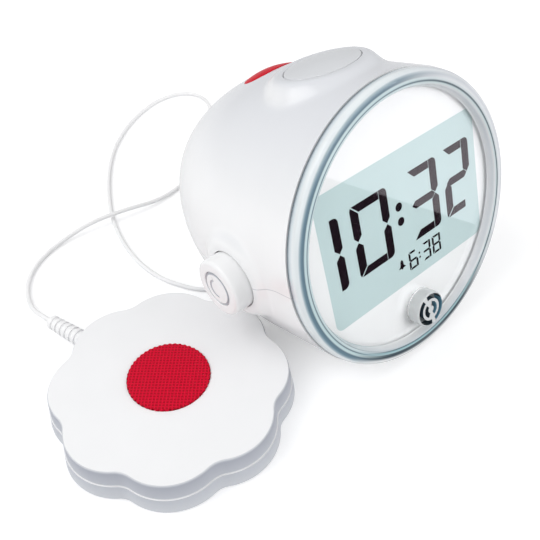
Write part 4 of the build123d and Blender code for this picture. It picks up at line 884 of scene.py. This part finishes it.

# %% [markdown]
# The pad is a soft red disc with a waffle of small squares and a scalloped rim. The disc is
# spun with a rounded edge, its rim's points are pushed in and out, and the waffle is a bump of
# two crossed waves, with a painted shade of darker red in its pits.

# %% Shaker pad
SCALLOPS, WAFFLE_PITCH = 48, 1.25 * MM
pad = spun(rounded([(0, 15.75, 0), (15.1, 15.75, 0.5), (15.1, 14.2, 0), (0, 14.2, 0)]), steps=288)
for vert in pad.verts:
    reach = hypot(vert.co.x, vert.co.y)
    if reach > 14:
        from_middle = vert.co.to_2d().normalized()
        turn = from_middle.angle_signed(Vector((1, 0)))
        wave = 1 + 0.014 * cos(SCALLOPS * turn)
        vert.co.x, vert.co.y = vert.co.x * wave, vert.co.y * wave
waffle_red_with_painted_pit_shade = finish("waffle_red_with_painted_pit_shade", (0.66, 0.001, 0.028), 0.45, Specular_IOR_Level=0.12)
nodes, links = waffle_red_with_painted_pit_shade.node_tree.nodes, waffle_red_with_painted_pit_shade.node_tree.links
place = nodes.new("ShaderNodeTexCoord")
turned = nodes.new("ShaderNodeMapping")
turned.vector_type = "TEXTURE"
turned.inputs["Rotation"].default_value = (0, 0, radians(-43))
apart = nodes.new("ShaderNodeSeparateXYZ")
links.new(place.outputs["Object"], turned.inputs["Vector"])
links.new(turned.outputs["Vector"], apart.inputs[0])
ridges = [shader_math(nodes, links, "ABSOLUTE", shader_math(
    nodes, links, "SINE", shader_math(nodes, links, "MULTIPLY", apart.outputs[axis], pi / WAFFLE_PITCH)))
    for axis in ("X", "Y")]
between_pits = eased(nodes, links, shader_math(nodes, links, "MINIMUM", *ridges), (0.35, 0.85), (1.0, 0.0))
bump = nodes.new("ShaderNodeBump")
bump.inputs["Strength"].default_value = 0.8
bump.inputs["Distance"].default_value = 0.25 * MM
links.new(between_pits, bump.inputs["Height"])
shader = nodes["Principled BSDF"]
links.new(bump.outputs["Normal"], shader.inputs["Normal"])
base = shader.inputs["Base Color"]
# Painted shade: a darker red in the waffle's pits.
links.new(mixed(nodes, links, between_pits, (0.40, 0.0, 0.012), base.links[0].from_socket), base)
piece("waffle_pad", pad, SHAKER, waffle_red_with_painted_pit_shade, "clock", "red_soft", ["shaker_pad"])

# %% [markdown]
# ## Floor
# The floor is pale paper that keeps the clock's shadow, and to the camera it is lifted to
# white, more so far from the clock. Glossy rays see a card with a straight edge in front of
# the clock, whose mirror image lies across the window and lightens the digits on its upper
# right. From below the floor is clear, and it lets the light of a lamp under it through.

# %% Floor
floor_bm = bmesh.new()
bmesh.ops.create_grid(floor_bm, x_segments=1, y_segments=1, size=3.0)
floor_mesh = bpy.data.meshes.new("floor")
floor_bm.to_mesh(floor_mesh)
floor_bm.free()
floor = bpy.data.objects.new("floor", floor_mesh)
bpy.context.collection.objects.link(floor)
paper = bpy.data.materials.new("paper")
paper.use_nodes = True
nodes, links = paper.node_tree.nodes, paper.node_tree.links
nodes.clear()
output = nodes.new("ShaderNodeOutputMaterial")
sheet = nodes.new("ShaderNodeBsdfDiffuse")
sheet.inputs["Color"].default_value = (0.8, 0.803, 0.81, 1)
rays = nodes.new("ShaderNodeLightPath")
place = nodes.new("ShaderNodeTexCoord")
print("floor's box", [round(c, 3) for c in floor.dimensions])

# %% Card that glossy rays see
CARD_SIDE, CARD_BLUR = (0.934, 0.357), 0.5 * MM
card_edge = Vector(CARD_SIDE).dot((TABLE @ Vector((104, -65, 0))).to_2d())
over_edge = nodes.new("ShaderNodeVectorMath")
over_edge.operation = "DOT_PRODUCT"
over_edge.inputs[1].default_value = (*CARD_SIDE, 0)
links.new(place.outputs["Object"], over_edge.inputs[0])
mirrored = nodes.new("ShaderNodeEmission")
mirrored.inputs["Color"].default_value = (1.0, 0.92, 0.98, 1)
links.new(eased(nodes, links, over_edge.outputs["Value"], (card_edge - CARD_BLUR, card_edge + CARD_BLUR),
                (0.02, 1.0), soft=False), mirrored.inputs["Strength"])
apart = nodes.new("ShaderNodeSeparateXYZ")
links.new(place.outputs["Object"], apart.inputs[0])
in_front = shader_math(nodes, links, "LESS_THAN", apart.outputs["Y"], RING.y - 22 * MM)
to_right = shader_math(nodes, links, "GREATER_THAN", apart.outputs["X"], RING.x - 60 * MM)
reflected = shader_math(nodes, links, "MULTIPLY", rays.outputs["Is Glossy Ray"], shader_math(
    nodes, links, "LESS_THAN", rays.outputs["Diffuse Depth"], 0.5))
on_card = shader_math(nodes, links, "MULTIPLY", reflected, shader_math(
    nodes, links, "MULTIPLY", in_front, to_right))
print("card's edge", round(card_edge, 4))

# %% Floor's lift to white and its layers
from_clock = nodes.new("ShaderNodeVectorMath")
from_clock.operation = "LENGTH"
links.new(place.outputs["Object"], from_clock.inputs[0])
lift = nodes.new("ShaderNodeEmission")
links.new(eased(nodes, links, from_clock.outputs["Value"], (0.25, 0.8), (0.3, 0.9)), lift.inputs["Strength"])
lifted = nodes.new("ShaderNodeAddShader")
links.new(sheet.outputs[0], lifted.inputs[0])
links.new(lift.outputs[0], lifted.inputs[1])

seen = shader_math(nodes, links, "MAXIMUM", rays.outputs["Is Camera Ray"], rays.outputs["Is Transmission Ray"])
side = nodes.new("ShaderNodeNewGeometry")
clear_below = nodes.new("ShaderNodeBsdfTransparent")
from_below = shader_math(nodes, links, "MAXIMUM", side.outputs["Backfacing"], rays.outputs["Is Shadow Ray"])
pale = mixed_shader(nodes, links, seen, sheet.outputs[0], lifted.outputs[0])
from_above = mixed_shader(nodes, links, on_card, pale, mirrored.outputs[0])
links.new(mixed_shader(nodes, links, from_below, from_above, clear_below.outputs[0]),
          output.inputs["Surface"])
floor_mesh.materials.append(paper)
print("floor's finish, nodes", len(nodes))

# %% [markdown]
# ## Light
# A plain sky lights the clock, darker near the horizon, and is white to the camera. Soft
# square lamps add a key light from above, some light from the left and the front, and a weak
# one under the floor, so that the underside can be looked at too.

# %% World and lamps
world = bpy.data.worlds.new("world")
world.use_nodes = True
bpy.context.scene.world = world
nodes, links = world.node_tree.nodes, world.node_tree.links
nodes.clear()
rays = nodes.new("ShaderNodeLightPath")
seen = shader_math(nodes, links, "MAXIMUM", rays.outputs["Is Camera Ray"], rays.outputs["Is Transmission Ray"])
plain = nodes.new("ShaderNodeBackground")
direction = nodes.new("ShaderNodeTexCoord")
heights = nodes.new("ShaderNodeSeparateXYZ")
links.new(direction.outputs["Generated"], heights.inputs[0])
links.new(eased(nodes, links, heights.outputs["Z"], (0.0, 0.9), (0.42, 0.8)), plain.inputs["Strength"])
white = nodes.new("ShaderNodeBackground")
white.inputs["Strength"].default_value = 1.0
for one in (plain, white):
    one.inputs["Color"].default_value = (1, 1, 1, 1)
output = nodes.new("ShaderNodeOutputWorld")
links.new(mixed_shader(nodes, links, seen, plain.outputs[0], white.outputs[0]), output.inputs["Surface"])


def lamp(name, place, target, size, watts):
    """A soft square lamp at a place, turned to a target."""
    data = bpy.data.lights.new(name, "AREA")
    data.shape, data.size, data.energy = "SQUARE", size, watts
    made = bpy.data.objects.new(name, data)
    bpy.context.collection.objects.link(made)
    made.location = place
    made.rotation_mode = "QUATERNION"
    made.rotation_quaternion = (Vector(target) - Vector(place)).to_track_quat("-Z", "Y")
    print("lamp", name, watts, "W")


lamp("key", (-0.55, 0.3, 0.85), (0, 0, 0.04), 0.7, 3.7)
lamp("left", (-0.95, -0.2, 0.45), (0, 0, 0.04), 0.6, 1.2)
lamp("under", (0.0, 0.05, -0.8), (0, 0.05, 0), 1.0, 2.5)
lamp("fill", (0.5, -0.9, 0.4), (0.04, -0.05, 0.05), 0.6, 3.2)

bpy.context.scene.view_settings.view_transform = "Standard"
